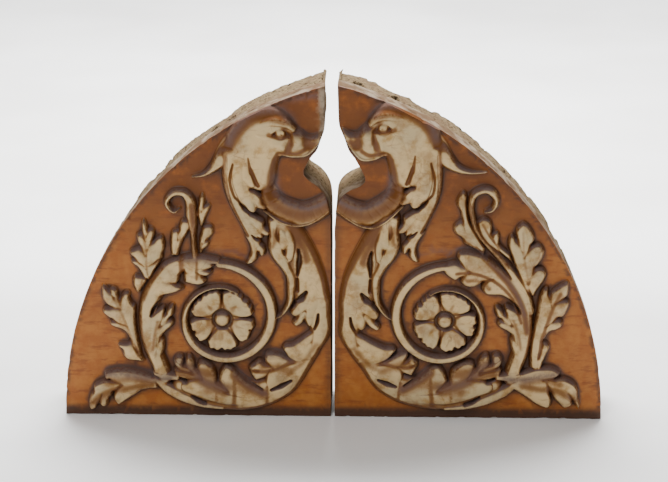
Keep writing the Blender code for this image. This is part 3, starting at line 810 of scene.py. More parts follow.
@dataclass(frozen=True)
class BeastHead(Ornament):
    """The beast's skull, cheek, snout, brow, eye and the fin behind its neck."""

    rise: float = 0.0255
    fin_rise: float = 0.022
    eye_radius: float = 4.8
    mask: tuple = (
        (225, 138), (232, 129), (240, 121.5), (249, 115.5), (260, 111.8), (270, 111.3), (279, 113.6),
        (287, 119.3), (293, 127.5), (296, 132.5), (300.5, 134), (306, 138.6), (312.5, 139.5), (318, 137.6),
        (322.5, 136), (320.8, 143), (317.5, 150), (311, 157), (304, 160.6), (290, 161), (281, 160.6),
        (278, 166), (276.5, 174), (275.5, 183), (270.5, 191), (259, 194), (248, 193), (238, 189),
        (229, 182), (223.6, 170), (223.4, 152),
    )
    fin: Band = Band(
        ((240, 145), (228, 155), (219, 165), (211, 173), (202, 178.5), (190.5, 181)),
        (13, 12.5, 9, 5, 2.4, 0.8), (0.024, 0.0245, fin_rise, 0.021, 0.019, 0.015), crown=0.008)
    skull: Leaf = Leaf(
        ((240, 205), (246, 170), (262, 140), (300, 148)), (mask,), rise, crown=0.006, valley=0)
    skull_slope: Bevel = Bevel(((223, 150),) + mask[:9], 15, 0.014)
    snout_slope: Bevel = Bevel(mask[8:13] + ((322, 136.5),), 5.5, 0.012)
    cheek_slope: Bevel = Bevel(
        ((280.5, 161), (278, 166), (276.5, 174), (275.5, 183), (272, 194)), 11, 0.014)
    socket: Groove = Groove(
        ((273, 137), (278, 136.4), (283, 136.4), (288, 138)), (1.6, 4.8, 5, 2.6), 0.008)
    brow: Band = Band(
        ((254, 129.5), (264, 125.8), (275, 124.6), (285, 126.6), (293, 132.8)), (2.2, 5.2, 6, 5.4, 2.8),
        (0.023, 0.029, 0.0315, 0.0305, 0.026), crown=0.005, shoulder=0.007)
    snout_sag: Swell = Swell((303, 149), (15, 9), -0.006)
    eyeball: Boss = Boss((280, 136.4), eye_radius, 0.008, 0.019)
    pupil: Groove = Groove(((281, 136.4), (281.8, 136.6)), (1, 1), 0.004)
    lower_lid: Ridge = Ridge(
        ((272, 140), (277, 142.6), (283, 142.4), (288, 139.6)), (0.8, 1.2, 1.2, 0.8), 0.0016)
    eye_corner: Ridge = Ridge(((257, 137.6), (264, 139.4), (271, 140)), (1.4, 2.2, 1.2), 0.0016)
    snout_hollow: Groove = Groove(((290.5, 138), (289.2, 145), (288, 152.5)), (1.2, 2.8, 4.2), 0.0032)
    nostril: Swell = Swell((308, 147), (4.4, 5.6), -0.004)
    nose_ball: Swell = Swell((297.4, 145), (5.6, 7.6), 0.013)
    mouth_corner: Swell = Swell((310.5, 150), (5.5, 5), -0.003)
    cheek_bone: Swell = Swell((283, 150), (3.8, 6.5), 0.005)
    under_eye: Swell = Swell((277, 146), (6, 3), 0.003)
    lip: Ridge = Ridge(
        ((279, 158.8), (293, 159.4), (304, 158.8), (311, 155.4), (317, 149.2), (320.4, 143)),
        (1.2, 1.5, 1.5, 1.5, 1.4, 1.1), 0.004)
    cheek_crease: Groove = Groove(
        ((247.5, 160), (249.5, 170), (253, 179), (257.5, 188)), (0.8, 1.4, 2.2, 1.6), 0.0042)
    cheek_line: Groove = Groove(((262, 142), (257, 152), (254, 164)), (1, 1.6, 1), 0.0014)
    cheek: Swell = Swell((265, 150), (8, 8), 0.0015)


@dataclass(frozen=True)
class Mane(Ornament):
    """The neck and the leaves of the mane that overlap down it, with their drilled eyes."""

    neck_rise: float = 0.025
    leaf_rise: float = 0.029
    neck: Band = Band(
        ((231, 160), (231, 185), (238, 207), (249, 231), (255, 250), (247, 266)), (11, 9, 9, 7.5, 5.5, 1),
        (neck_rise, 0.025, 0.022, 0.020), crown=0.004)
    lowest_leaf: Leaf = Leaf(
        ((247, 232), (255, 243), (256, 255)),
        (((251, 238), (255, 242), (260, 246), (264, 250), (265, 253), (264, 258), (262, 259), (260, 259)),
         ((257, 255), (257, 258), (256, 262), (252, 266), (245, 267), (249, 261), (250, 254), (248, 246),
          (243, 238))), 0.025)
    middle_leaf: Leaf = Leaf(
        ((236, 198), (245, 216), (259, 233)),
        (((240, 206), (245, 212), (249, 216), (254, 218), (263, 224), (264, 229), (269, 234), (269, 238),
          (266, 239)),
         ((263, 239), (261, 242), (257, 240), (251, 237), (246, 230), (238, 217), (232, 204), (229, 192))),
        leaf_rise - 0.002)
    top_leaf: Leaf = Leaf(
        ((241, 160), (243, 182), (250, 199), (260, 209)),
        (((248, 158), (249, 172), (252, 177), (256, 188), (253, 190)),
         ((250, 191), (256, 194), (261, 199), (263, 204), (267, 209), (264, 212), (259, 211)),
         ((257, 211), (254, 215), (248, 213), (244, 208), (239, 204), (235, 197), (231, 186), (230, 174),
          (232, 163))), leaf_rise + 0.004, crown=0.008, sink=0.004)
    middle_eye: Slot = Slot(((239, 205), (244, 211), (250, 216)), (0.7, 1.9, 1.2), floor=0.008)
    top_eye: Slot = Slot(((249, 191), (253, 192), (257, 193)), (0.5, 1.3, 0.9), floor=0.014)
    lowest_eye: Slot = Slot(((251, 237), (255, 241), (260, 244)), (0.6, 1.3, 0.9), floor=0.008)
    outer_groove: Groove = Groove(
        ((226, 160), (226, 182), (230, 203), (240, 224), (248, 238)), (1, 1.4, 1.4, 1.2, 0.8), 0.003)
    inner_groove: Groove = Groove(
        ((232, 166), (229, 182), (233, 197), (239, 204)), (0.9, 1.3, 1.3, 1), 0.005)


@dataclass(frozen=True)
class Jaw(Ornament):
    """The lower jaw: a hollow-fronted crescent with soft creases and a thin lip."""

    rise: float = 0.023
    lip_rise: float = 0.025
    shoulder: float = 0.015
    creases: int = 9
    crease_depth: float = 0.0012
    middle: tuple = (
        (265, 187), (268, 196), (272, 205), (280, 211), (290, 215), (301, 218), (314, 215), (329, 206),
    )
    widths: tuple = (6, 10, 11.2, 11.6, 12, 12, 11, 9.4)
    lip: Band = Band(
        ((263, 213), (276, 222), (285, 226), (297, 228), (309, 226), (320, 220), (329, 213)),
        (1.1, 1.4, 1.5, 1.5, 1.5, 1.4, 1.2), lip_rise, crown=0.001, shoulder=0.002)

    def carve(self, face: Relief) -> None:
        """Carves the crescent and its creases, then the lip.

        Args:
            face: The face that it is carved on.
        """
        place, share, gap, side, width = face.trace(self.middle, self.widths)
        height = band_height(share, gap, width, self.rise, 0.001, self.shoulder)
        wander = share + 0.010 * np.sin(share * 23.0) + 0.012 * side * gap / 0.015
        crease = np.abs((wander * self.creases) % 1.0 - 0.5) * 2
        height -= self.crease_depth * ease(crease, 0.62, 1.0) * (gap < width)
        face.raise_form(place, height)
        super().carve(face)


@dataclass(frozen=True)
class Body(Ornament):
    """The body that rolls down beside the joint and along the base, wrapped in leaves."""

    rise: float = 0.021
    strap_rise: float = 0.027
    leaf_rise: float = 0.027
    roll: Band = Band(
        ((281, 226), (289, 240), (298, 258), (306, 280), (311, 300), (316, 318), (320, 332), (315, 347),
         (301, 364), (280, 386), (252, 398), (225, 400), (200, 394), (180, 386)),
        (14, 16.5, 18, 18.4, 17, 11.4, 7.4, 11.4, 15, 16, 15, 14, 13, 10),
        (0.018, 0.021, rise, rise, 0.020), crown=0.009, shoulder=0.012)
    joint_leaf: Leaf = Leaf(
        ((311, 290), (308, 306), (301, 320)),
        (((300, 298), (296, 305), (291, 311), (290, 316)),
         ((295, 320), (292, 326), (296, 329), (300, 327)),
         ((304, 324), (309, 329), (313, 326), (315, 320), (318, 310), (321, 296), (318, 280), (306, 284))),
        leaf_rise, sink=0.006)
    strap: Band = Band(
        ((273, 226), (273, 240), (277, 255), (285, 268), (291, 280), (291, 292), (290, 302), (286, 311),
         (280, 318), (274, 321)), (6, 4.6, 8, 7.4, 5.6, 5.3, 4.8, 3.2, 1.9, 0.5),
        (0.021, 0.025, strap_rise, strap_rise, 0.024), shoulder=0.009)
    strap_leaf: Leaf = Leaf(
        ((284, 230), (288, 246), (289, 258)),
        (((275, 228), (277, 240), (277, 246), (280, 251)),
         ((284, 254), (284, 258), (286, 262), (288, 265), (292, 263), (294, 260), (295, 255), (296, 247),
          (294, 238), (290, 230))), 0.031, sink=0.010)
    strap_eye: Slot = Slot(((298, 252), (299, 262), (297, 278)), (1.2, 3, 0.8), floor=0.006)
    strap_groove: Groove = Groove(((297, 281), (297, 293)), (1.4, 1.8), 0.006)
    joint_leaf_eye: Slot = Slot(((306, 294), (302, 299), (296, 304)), (1.6, 3, 1.2), floor=0.006)
    joint_eye: Slot = Slot(((318, 316), (317, 324), (314, 331)), (1.2, 1.8, 1.2), floor=0.010)
    rising_leaf: Leaf = Leaf(
        ((316, 340), (302, 350), (286, 352)),
        (((318, 328), (305, 337), (293, 345), (286, 346), (282, 350), (284, 354), (288, 360), (297, 364),
          (312, 362)),), leaf_rise, sink=0.007)
    inner_leaf: Leaf = Leaf(
        ((300, 363), (289, 365), (277, 369), (264, 371), (251, 372)),
        (((300, 362), (290, 360), (281, 356), (273, 354), (266, 355), (264, 360)),
         ((264, 364), (258, 362), (254, 365), (249, 369)),
         ((248, 372), (251, 377), (255, 382), (259, 381)),
         ((264, 380), (265, 386), (268, 390), (273, 388), (281, 385), (289, 380), (300, 374))),
        leaf_rise, sink=0.004)
    inner_leaf_eye: Slot = Slot(((291, 382), (281, 387), (271, 391)), (1.2, 2.6, 1.2), floor=0.006)
    base_leaf: Leaf = Leaf(
        ((268, 400), (242, 397), (217, 388), (198, 377), (184, 368)),
        (((262, 391), (250, 384), (240, 377), (233, 371), (226, 367), (222, 370), (219, 375)),
         ((217, 382), (214, 372), (210, 367), (204, 363), (199, 363), (196, 366)),
         ((195, 369), (192, 361), (188, 357), (185, 359)),
         ((183, 366), (182, 359), (177, 357), (173, 361), (173, 365)),
         ((175, 369), (173, 372), (175, 377), (180, 379)),
         ((185, 381), (181, 383), (179, 386), (180, 390), (184, 393), (192, 396), (205, 401), (225, 406),
          (250, 407), (266, 404))), leaf_rise + 0.001, tilt=-0.002, sink=0.006)
    base_rib: Ridge = Ridge(((222, 393), (234, 397), (250, 399), (266, 399)), (0.8, 1.4, 1.4, 0.8), 0.0014)
    base_leaf_eye: Slot = Slot(((237, 375), (247, 383), (262, 391)), (1, 1.6, 1), floor=0.006)
    base_tip_eye: Slot = Slot(((176, 379), (185, 382)), (1.2, 1.7), floor=0.006)
    runner: Band = Band(
        ((154, 380), (168, 391), (186, 400), (204, 406), (222, 409)), (4, 6.4, 6.4, 5, 3), 0.021)
    runner_eye: Slot = Slot(((191, 397), (197, 401), (204, 404)), (0.8, 2.2, 2), floor=0.005)


@dataclass(frozen=True)
class Stem(Ornament):
    """The stem that climbs from the base round to the volute, with the leaf inside it.

    Only the left one shows its upper end. The right one is behind the turned leaf.
    """

    rise: float = 0.024
    leaf_rise: float = 0.028
    lower: tuple = ((164, 379), (153, 355), (147, 332), (147, 310), (155, 290))
    upper: tuple = ((171, 272), (193, 263), (216, 264))
    widths: tuple = (7.5, 8.4, 9.4, 9, 10)
    upper_widths: tuple = (10.5, 6.5, 3.5)
    stalk: Sided = Sided(
        Band(lower + upper, widths + upper_widths, rise, crown=0.005, shoulder=0.011),
        Band(lower, widths, rise, crown=0.005, shoulder=0.011))
    clasping_leaf: Leaf = Leaf(
        ((160, 374), (156, 352), (157, 335), (161, 319)),
        (((153, 374), (148, 356), (147, 338), (149, 323), (152, 316), (159, 310), (163, 309)),
         ((164, 315), (168, 309), (172, 307), (172, 316)),
         ((169, 320), (172, 324), (171, 328), (164, 334)),
         ((161, 338), (163, 343), (163, 351), (160, 359), (161, 365), (167, 375))), leaf_rise)
    clasping_eye: Slot = Slot(
        ((150, 317), (153, 310), (160, 304), (172, 301)), (1.2, 2.2, 2.6, 2.2), floor=0.003)
    collar: Band = Band(((154, 374), (163, 377), (176, 378)), (2.5, 4.5, 3.5), 0.026, shoulder=0.004)


@dataclass(frozen=True)
class Volute(Form):
    """The ring that winds inward round the flower."""

    centre: tuple[float, float] = (220.9, 321.2)
    steps: int = 64
    turn: tuple[float, float] = (92.0, -300.0)
    radii: Widths = (57.0, 51.5, 45.5, 40.5, 37.4, 34.2, 31.4)
    half_widths: Widths = (3.6, 4.9, 5.0, 4.3, 4.0, 2.2, 1.0)
    rise: float = 0.024
    crown: float = 0.003
    shoulder: float = 0.0036

    def carve(self, face: Relief) -> None:
        """Carves the ring.

        Args:
            face: The face that it is carved on.
        """
        centre = face.drawing.face([self.centre])[0]
        share = np.linspace(0.0, 1.0, self.steps)
        turn = np.radians(np.interp(share, (0.0, 1.0), self.turn))
        radius = np.interp(share, np.linspace(0.0, 1.0, len(self.radii)), self.radii) * face.pixel
        line = centre + np.stack([-radius * np.cos(turn), radius * np.sin(turn)], axis=1)
        half = np.array(self.half_widths) * face.pixel
        place, share, gap, _, width = face.trace_line(line, half)
        face.raise_form(place, band_height(share, gap, width, self.rise, self.crown, self.shoulder))


@dataclass(frozen=True)
class Flower(Form):
    """A flower of uneven petals round a boss in a moat."""

    centre: tuple[float, float] = (221.2, 322.0)
    left_gaps: tuple = (90.0, 5.0, -55.0, -125.0, 175.0)
    left_folds: tuple = (47.0, 134.0, -25.0, -90.0, -155.0)
    right_gaps: tuple = (104.0, 23.0, -37.0, -103.0, 180.0)
    right_folds: tuple = (64.0, 141.0, -8.0, -70.0, -141.0)
    left_pit: Slot = Slot(((249.2, 332.0), (249.8, 332.8)), (1.3, 1.3), floor=0.010)
    right_pit: Slot = Slot(((480.1, 331.1), (480.7, 331.9)), (1.3, 1.3), floor=0.010)
    radius: float = 32.0
    moat_radius: float = 10.6
    boss_radius: float = 7.2
    gap_width: float = 1.0
    ruffles: float = 29.0
    heart_height: float = 0.0140
    rim_lift: float = 0.0085
    gap_depth: float = 0.006
    fold_depth: float = 0.0034
    moat_height: float = 0.0045
    boss_base: float = 0.010
    boss_rise: float = 0.011

    def nearest_line(self, angle: Array, away: Array, lines: Sequence[float]) -> Array:
        """Measures how far each point is from the nearest of some lines out of the centre.

        Args:
            angle: Each point's angle, in radians.
            away: Its distance from the centre, in pixels.
            lines: The lines' angles, in degrees.

        Returns:
            The distance, in pixels.
        """
        turns = [np.abs((angle - math.radians(line) + math.pi) % math.tau - math.pi) for line in lines]
        return np.sin(np.minimum(np.minimum.reduce(turns), math.pi / 2)) * away

    def carve(self, face: Relief) -> None:
        """Carves the flower.

        Args:
            face: The face that it is carved on.
        """
        centre = face.drawing.face([self.centre])[0]
        place, outward, upward = face.window(centre[None], self.radius * face.pixel)
        away = np.hypot(outward - centre[0], upward - centre[1]) / face.pixel
        left = face.drawing.side is Side.LEFT
        angle = np.arctan2(upward - centre[1], (outward - centre[0]) * face.drawing.side.turn)
        gap = self.nearest_line(angle, away, self.left_gaps if left else self.right_gaps)
        fold = self.nearest_line(angle, away, self.left_folds if left else self.right_folds)
        rim = self.radius - 5.0 * np.exp(-(gap / 3.4) ** 2) - 1.7 * np.exp(-(fold / 1.8) ** 2)
        ruffle = np.cos(self.ruffles * angle)
        rim += 0.5 * ruffle
        share = np.clip(away / rim, 0.0, 1.0)
        height = self.heart_height + self.rim_lift * ease(share, 0.36, 0.92)
        height -= self.gap_depth * (1.0 - quarter_round(gap - self.gap_width, 7.0))
        height -= self.fold_depth * np.exp(-(fold / 2.4) ** 2) * ease(share, 0.30, 0.7)
        height += 0.0007 * ruffle * ease(share, 0.45, 0.9)
        height *= ease(gap + 0.10 * (1.0 - share) * self.radius, 0.2 * self.gap_width, self.gap_width + 1.0)
        edge = quarter_round((rim - away) * face.pixel, 0.004)
        face.raise_form(place, np.where(away < rim, np.maximum(height, 0.003) * edge, 0.0))
        here = face.height[place]
        face.height[place] = np.where(away < self.moat_radius, np.minimum(here, self.moat_height), here)
        dome = np.sqrt(np.clip(1.0 - (away / self.boss_radius) ** 2, 0.0, 1.0))
        boss = self.boss_base + self.boss_rise * dome
        face.raise_form(place, np.where(away < self.boss_radius, boss, 0.0))
        (self.left_pit if left else self.right_pit).carve(face.in_own_pixels())


@dataclass(frozen=True)
class LeftLeaves(Ornament):
    """The two lower leaves that spring outward from the left stem, in their own pixels."""

    OWN_PIXELS = True
    rise: float = 0.024
    upper: Leaf = Leaf(
        ((139, 360), (131, 337), (124, 318), (117, 304), (108, 295)),
        (((143, 364), (135, 363), (127, 362), (122, 358), (121, 352), (116, 348), (118, 345), (126, 345)),
         ((128, 342), (126, 337), (121, 332), (112, 329), (108, 326)),
         ((110, 322), (102, 316), (101, 313), (103, 310)),
         ((107, 309), (101, 302), (100, 297), (100, 292), (101, 288)),
         ((107, 292), (111, 290), (115, 293), (116, 297)),
         ((118, 300), (124, 294), (128, 296), (128, 301), (131, 306), (134, 309), (134, 318), (135, 331),
          (137, 341), (140, 357))), rise)
    lower: Leaf = Leaf(
        ((156, 384), (140, 383), (122, 386), (106, 391), (95, 399)),
        (((156, 379), (140, 374), (127, 371), (115, 371), (103, 374)),
         ((108, 381), (101, 382), (93, 386), (92, 392), (89, 396), (87, 404), (88, 411), (93, 411)),
         ((97, 406), (102, 409), (106, 407), (107, 401)),
         ((112, 394), (112, 401), (117, 407), (121, 405), (127, 401), (135, 396), (142, 392), (157, 390))),
        rise, crown=0.008, tilt=0.003)
    bud: Boss = Boss((106, 378), 2.8, 0.004, 0.018)


@dataclass(frozen=True)
class RightLeaves(Ornament):
    """The two lower leaves that spring outward from the right stem, in their own pixels."""

    OWN_PIXELS = True
    rise: float = 0.024
    upper: Leaf = Leaf(
        ((541, 375), (545, 345), (551, 325), (558, 308), (565, 296)),
        (((534, 372), (534, 352), (537, 335), (541, 318), (544, 303), (548, 295), (552, 293)),
         ((554, 299), (560, 294), (568, 289), (573, 288), (574, 294), (573, 300)),
         ((570, 304), (574, 307), (574, 312), (569, 321)),
         ((563, 323), (567, 327), (567, 331), (561, 335), (554, 337)),
         ((548, 345), (553, 349), (554, 353), (550, 361), (547, 368), (545, 376))), rise)
    lower: Leaf = Leaf(
        ((516, 386), (536, 382), (555, 386), (569, 393), (577, 399)),
        (((516, 379), (529, 375), (540, 372), (554, 371), (562, 374), (565, 377)),
         ((560, 382), (569, 382), (579, 387), (583, 394), (583, 402), (585, 408), (584, 414), (582, 411)),
         ((578, 405), (577, 409), (574, 411), (569, 412), (565, 409), (559, 403)),
         ((555, 397), (556, 406), (554, 411), (550, 412), (540, 408), (528, 400), (515, 392))),
        rise, crown=0.008, tilt=0.003)


@dataclass(frozen=True)
class LeftSpray(Ornament):
    """The left tendril, upper side leaf and the leaf that turns in over the volute."""

    OWN_PIXELS = True
    leaf_rise: float = 0.024
    tendril_rise: float = 0.022
    turned_rise: float = 0.029
    side_leaf: Leaf = Leaf(
        ((148, 280), (145, 264), (145, 249), (144, 235), (143, 227)),
        (((142, 280), (137, 271), (132, 267), (129, 264)),
         ((132, 261), (128, 256), (129, 253), (134, 251)),
         ((138, 249), (136, 244), (135, 238)),
         ((140, 235), (140, 228), (142, 223)),
         ((147, 232), (150, 231), (153, 235)),
         ((152, 243), (158, 239), (161, 240), (163, 246), (163, 251), (161, 257)),
         ((162, 260), (156, 269), (151, 278), (148, 283))), leaf_rise)
    side_leaf_foot: Leaf = Leaf(
        ((141, 282), (138, 287), (137, 293)),
        (((133, 278), (131, 284), (133, 291), (137, 296), (141, 291), (146, 282), (141, 279)),),
        0.022, valley=0.003)
    outer_leaf: Leaf = Leaf(
        ((173, 258), (177, 244), (184, 229)),
        (((170, 259), (169, 247), (170, 236), (173, 233)),
         ((177, 232), (179, 226), (181, 223), (185, 223), (188, 225), (189, 231), (186, 237), (182, 243),
          (179, 251), (177, 259))), 0.022)
    tip_leaf: Leaf = Leaf(
        ((200, 228), (200, 214), (201, 202)),
        (((199, 230), (196, 218), (197, 207), (199, 200), (201, 197), (203, 201)),
         ((204, 208), (208, 208), (209, 211), (206, 218), (203, 225), (201, 230))), 0.021)
    inner_leaf: Leaf = Leaf(
        ((199, 254), (202, 243), (207, 234)),
        (((198, 257), (198, 245), (200, 236), (202, 230), (208, 228), (212, 231), (212, 237)),
         ((207, 243), (208, 247), (206, 250), (202, 253), (200, 257))), 0.021)
    tendril: Band = Band(
        ((194, 260), (192, 240), (191, 222), (189, 206), (183, 197), (174, 196), (168, 200), (165, 206),
         (168, 212), (173, 215), (178, 212)), (3.4, 2.6, 2.4, 4.6, 6.2, 5.2, 3.8, 3.2, 2.6, 2, 0.8),
        tendril_rise, shoulder=0.005)
    tendril_groove: Groove = Groove(((195, 254), (196, 232), (195, 212)), (0.9, 1.3, 1), 0.008)
    turned_leaf: Leaf = Leaf(
        ((143, 309), (154, 291), (166, 278), (178, 272)),
        (((140, 311), (141, 300), (147, 287), (154, 277), (162, 268), (170, 262), (178, 261), (178, 272),
          (178, 281)),
         ((176, 286), (180, 288), (183, 291), (178, 293), (174, 295), (162, 298), (154, 303), (150, 309),
          (147, 314))), turned_rise - 0.001, sink=0.005)
    turned_tip: Leaf = Leaf(
        ((183, 275), (193, 272), (204, 270)),
        (((183, 285), (182, 272), (184, 264), (193, 260), (202, 261), (209, 264), (213, 268)),
         ((208, 272), (211, 274), (210, 276), (207, 278)),
         ((203, 279), (205, 283), (204, 285), (199, 287), (193, 287), (188, 286))),
        turned_rise, sink=0.003)


@dataclass(frozen=True)
class RightSpray(Ornament):
    """The right tendril, upper side leaf and the leaf that turns in over the volute."""

    OWN_PIXELS = True
    leaf_rise: float = 0.024
    tendril_rise: float = 0.022
    turned_rise: float = 0.029
    side_leaf: Leaf = Leaf(
        ((535, 301), (529, 278), (527, 256), (527, 235)),
        (((528, 294), (521, 278), (516, 264), (512, 252), (513, 244), (516, 241)),
         ((520, 245), (520, 236), (524, 231), (528, 229), (534, 234), (539, 244)),
         ((536, 251), (543, 250), (547, 254), (549, 259), (546, 266)),
         ((540, 273), (547, 274), (551, 280), (548, 287), (541, 296), (538, 303))), leaf_rise)
    outer_leaf: Leaf = Leaf(
        ((509, 265), (500, 252), (492, 240), (487, 230)),
        (((489, 249), (483, 240), (480, 230), (483, 226), (487, 224), (492, 226), (495, 230)),
         ((496, 239), (501, 238), (503, 243), (503, 250), (508, 255), (514, 260), (517, 269))), 0.022)
    tip_leaf: Leaf = Leaf(
        ((486, 259), (472, 243), (466, 228), (466, 207)),
        (((487, 262), (477, 255), (467, 250), (465, 245), (458, 240), (456, 235), (458, 231)),
         ((464, 226), (463, 218), (459, 211), (461, 204), (466, 198), (470, 203), (470, 212), (472, 226),
          (479, 239), (489, 254))), 0.021)
    tendril: Band = Band(
        ((534, 316), (527, 297), (516, 279), (503, 263), (491, 251), (480, 237), (475, 222), (474, 212),
         (477, 202), (487, 197), (496, 200), (500, 208), (496, 216), (488, 219)),
        (5, 6, 5.5, 4.6, 4, 3.2, 2.8, 2.6, 3, 3.2, 3.8, 4, 3, 0.8), tendril_rise + 0.001, shoulder=0.007)
    turned_leaf: Leaf = Leaf(
        ((529, 313), (519, 298), (506, 287), (493, 279), (475, 276), (458, 276)),
        (((533, 306), (524, 292), (512, 279), (499, 268), (487, 261), (474, 257), (463, 257), (460, 262)),
         ((462, 268), (455, 267), (448, 270), (446, 276), (450, 281), (457, 285)),
         ((463, 283), (464, 288), (468, 291), (473, 292), (479, 291)),
         ((486, 287), (485, 294), (489, 299), (497, 300), (506, 301), (517, 308), (525, 318))),
        turned_rise, sink=0.004)
    turned_leaf_eye: Slot = Slot(((479, 255), (485, 258), (489, 262)), (0.6, 1.2, 0.8), floor=0.012)


@dataclass(frozen=True)
class PatinaAndShade:
    """The brown wear and painted shade, and the grey patches, that lie over the carving."""

    # Brown strokes: brown wear, and painted shade on the skull's slope under the crest, under the eye and
    # down the body's side by the joint.
    brown: tuple = (
        (((227, 150), (238, 133), (254, 121), (272, 118), (286, 122)), 6, 1),
        (((267, 196), (273, 206), (285, 213), (300, 217.5), (315, 214.5), (327, 208)), 8, 0.9),
        (((262, 204), (266, 214)), 5, 0.6),
        (((226, 150), (223, 175), (227, 200), (237, 222)), 2.6, 0.6),
        (((307, 143), (309, 149), (315, 146)), 3.4, 1),
        (((304, 153), (296, 156), (286, 156)), 2.2, 0.9),
        (((290, 138), (291, 146), (285, 156)), 2.8, 0.7),
        (((268, 137), (276, 139.5), (288, 139)), 2.6, 0.8),
        (((251, 172), (255, 182), (258, 188)), 2, 0.8),
        (((274, 164), (269, 180), (270, 194)), 3.5, 0.6),
        (((292, 228), (296, 238), (303, 252), (306, 262)), 5, 0.8),
        (((296, 230), (311, 252), (322, 276), (328, 300)), 3.4, 0.95),
        (((273, 232), (274, 244), (270, 250)), 3, 0.5),
        (((288, 372), (300, 366), (316, 346)), 4, 0.45),
        (((180, 372), (194, 376), (208, 384), (224, 391)), 6.5, 0.75),
        (((234, 376), (246, 386), (262, 394)), 5.5, 0.9),
        (((250, 371.7), (270, 371), (292, 363)), 2.6, 0.85),
        (((234, 380), (234, 396), (233, 412)), 2.4, 0.8),
        (((266.5, 388), (266.5, 398), (266, 409)), 1.6, 0.85),
        (((216, 386), (216, 400)), 2, 0.6),
        (((150, 384), (130, 388), (108, 392), (92, 402)), 5, 0.6),
        (((214, 374), (200, 372), (186, 366)), 7, 0.65),
        (((262, 396), (244, 389), (226, 387), (206, 390)), 7, 0.5),
        (((290, 372), (277, 367), (262, 367)), 6, 0.5),
        (((148, 382), (126, 379), (106, 384)), 6, 0.5),
        (((139, 318), (141, 340), (150, 366)), 2.4, 0.6),
        (((152, 350), (154, 335), (157, 322)), 2.4, 0.5),
        (((250, 300), (262, 318), (262, 330)), 2, 0.5),
    )
    left_brown: tuple = (
        (((180, 250), (180.5, 275), (181, 296)), 2.6, 0.9),
        (((160, 270), (150, 284), (143, 300)), 2.6, 0.55),
        (((196, 262), (196, 280)), 1.8, 0.6),
        (((195.5, 256), (193.5, 232), (191, 208)), 3.6, 1),
        (((146, 276), (145, 256), (143, 238)), 2, 0.35),
        (((137, 356), (128, 334), (121, 316), (112, 300)), 2.2, 0.4),
        (((141, 283), (138, 292)), 2, 0.5),
        (((177, 256), (180, 242)), 2, 0.5),
    )
    right_brown: tuple = (
        (((459, 277), (474, 276.4), (490, 281), (505, 290), (518, 306), (525, 326)), 1.8, 0.9),
        (((488, 262), (503, 277), (517, 294), (527, 314), (531, 335)), 3.4, 1),
        (((474, 212), (476, 226), (484, 241), (497, 256), (512, 272)), 2, 0.8),
        (((527, 238), (528, 262), (533, 288)), 2, 0.35),
        (((486, 230), (493, 242), (503, 254)), 1.6, 0.6),
        (((565, 298), (556, 315), (548, 338), (543, 362)), 2.2, 0.7),
        (((464, 246), (472, 250), (482, 258)), 2.4, 0.7),
        (((470, 284), (480, 284), (492, 292)), 3, 0.6),
    )
    grey: tuple = (
        (((106, 374.5), (125, 374), (150, 378), (170, 378)), 4.6, 0.9),
        (((263, 357), (276, 355.5), (290, 361)), 3.2, 0.9),
        (((174, 362), (190, 368), (205, 382), (225, 388)), 5, 0.6),
        (((236, 374), (250, 386), (264, 394)), 3.6, 0.7),
        (((228, 146), (233, 134), (246, 120), (262, 114), (280, 115), (291, 126)), 4.2, 0.8),
        (((274.5, 180), (276, 192), (283, 202.5), (294, 208.5), (307, 210.5), (318, 207.5), (327, 202)),
         3.2, 1.0),
        (((296, 134), (302, 136.5), (307, 141), (313, 141.5), (320, 138.5)), 2, 0.8),
        (((246, 262), (232, 257), (212, 256)), 2.2, 0.6),
        (((155, 381), (170, 380)), 3, 0.7),
    )
    rubbed: tuple = (
        (((257, 128.5), (266, 125.5), (277, 125), (287, 128), (291.5, 132)), 4.4, 1),
        (((296.8, 143), (297.4, 147.5)), 5.2, 1),
        (((280, 136), (280.4, 136.4)), 3.6, 1),
        (((283, 159), (304, 158.8), (311, 155.4), (317, 149)), 1.4, 0.9),
        (((238, 150), (240, 172), (246, 190)), 6, 0.8),
        (((262, 168), (262, 178)), 5, 0.9),
        (((262, 200), (264, 208)), 2.4, 0.8),
        (((175, 196.5), (184, 199), (189, 206)), 3.2, 0.8),
        (((322, 300), (313, 318), (312, 328)), 3.4, 0.5),
    )
    left_grey: tuple = (
        (((184, 262), (200, 261), (214, 265)), 2.8, 0.8),
        (((275, 104.5), (295, 104), (318, 101)), 3, 0.8),
    )
    right_grey: tuple = (
        (((450, 263), (462, 256), (478, 256), (490, 263)), 2.2, 0.9),
        (((494, 267), (508, 279), (521, 298), (528, 318)), 2.4, 0.6),
    )

    def lay(self, face: Relief) -> None:
        """Brushes the brown wear and painted shade, the grey and the rubbed places over a face.

        Args:
            face: The carved face.
        """
        own = face.in_own_pixels()
        left = face.drawing.side is Side.LEFT
        face.brush(face.brown, self.brown)
        own.brush(own.brown, self.left_brown if left else self.right_brown)
        face.brush(face.rubbed, self.rubbed)
        face.brush(face.grey, self.grey)
        own.brush(own.grey, self.left_grey if left else self.right_grey)


@dataclass
class Carving:
    """All the carving of one face, in the order that its forms overlap."""

    side: Side
    forms: tuple[Form, ...] = (
        Sided(LeftLeaves(), RightLeaves()), Volute(), Flower(), Body(), Stem(),
        Sided(LeftSpray(), RightSpray()), Jaw(), BeastHead(), Mane(),
    )
    patina_and_shade: PatinaAndShade = PatinaAndShade()

    def relief(self, rng: np.random.Generator) -> Relief:
        """Carves the whole face.

        Args:
            rng: The source of the random numbers.

        Returns:
            The finished relief.
        """
        face = Relief(Drawing(self.side))
        for form in self.forms:
            form.carve(face)
        face.weather(rng)
        self.patina_and_shade.lay(face)
        return face


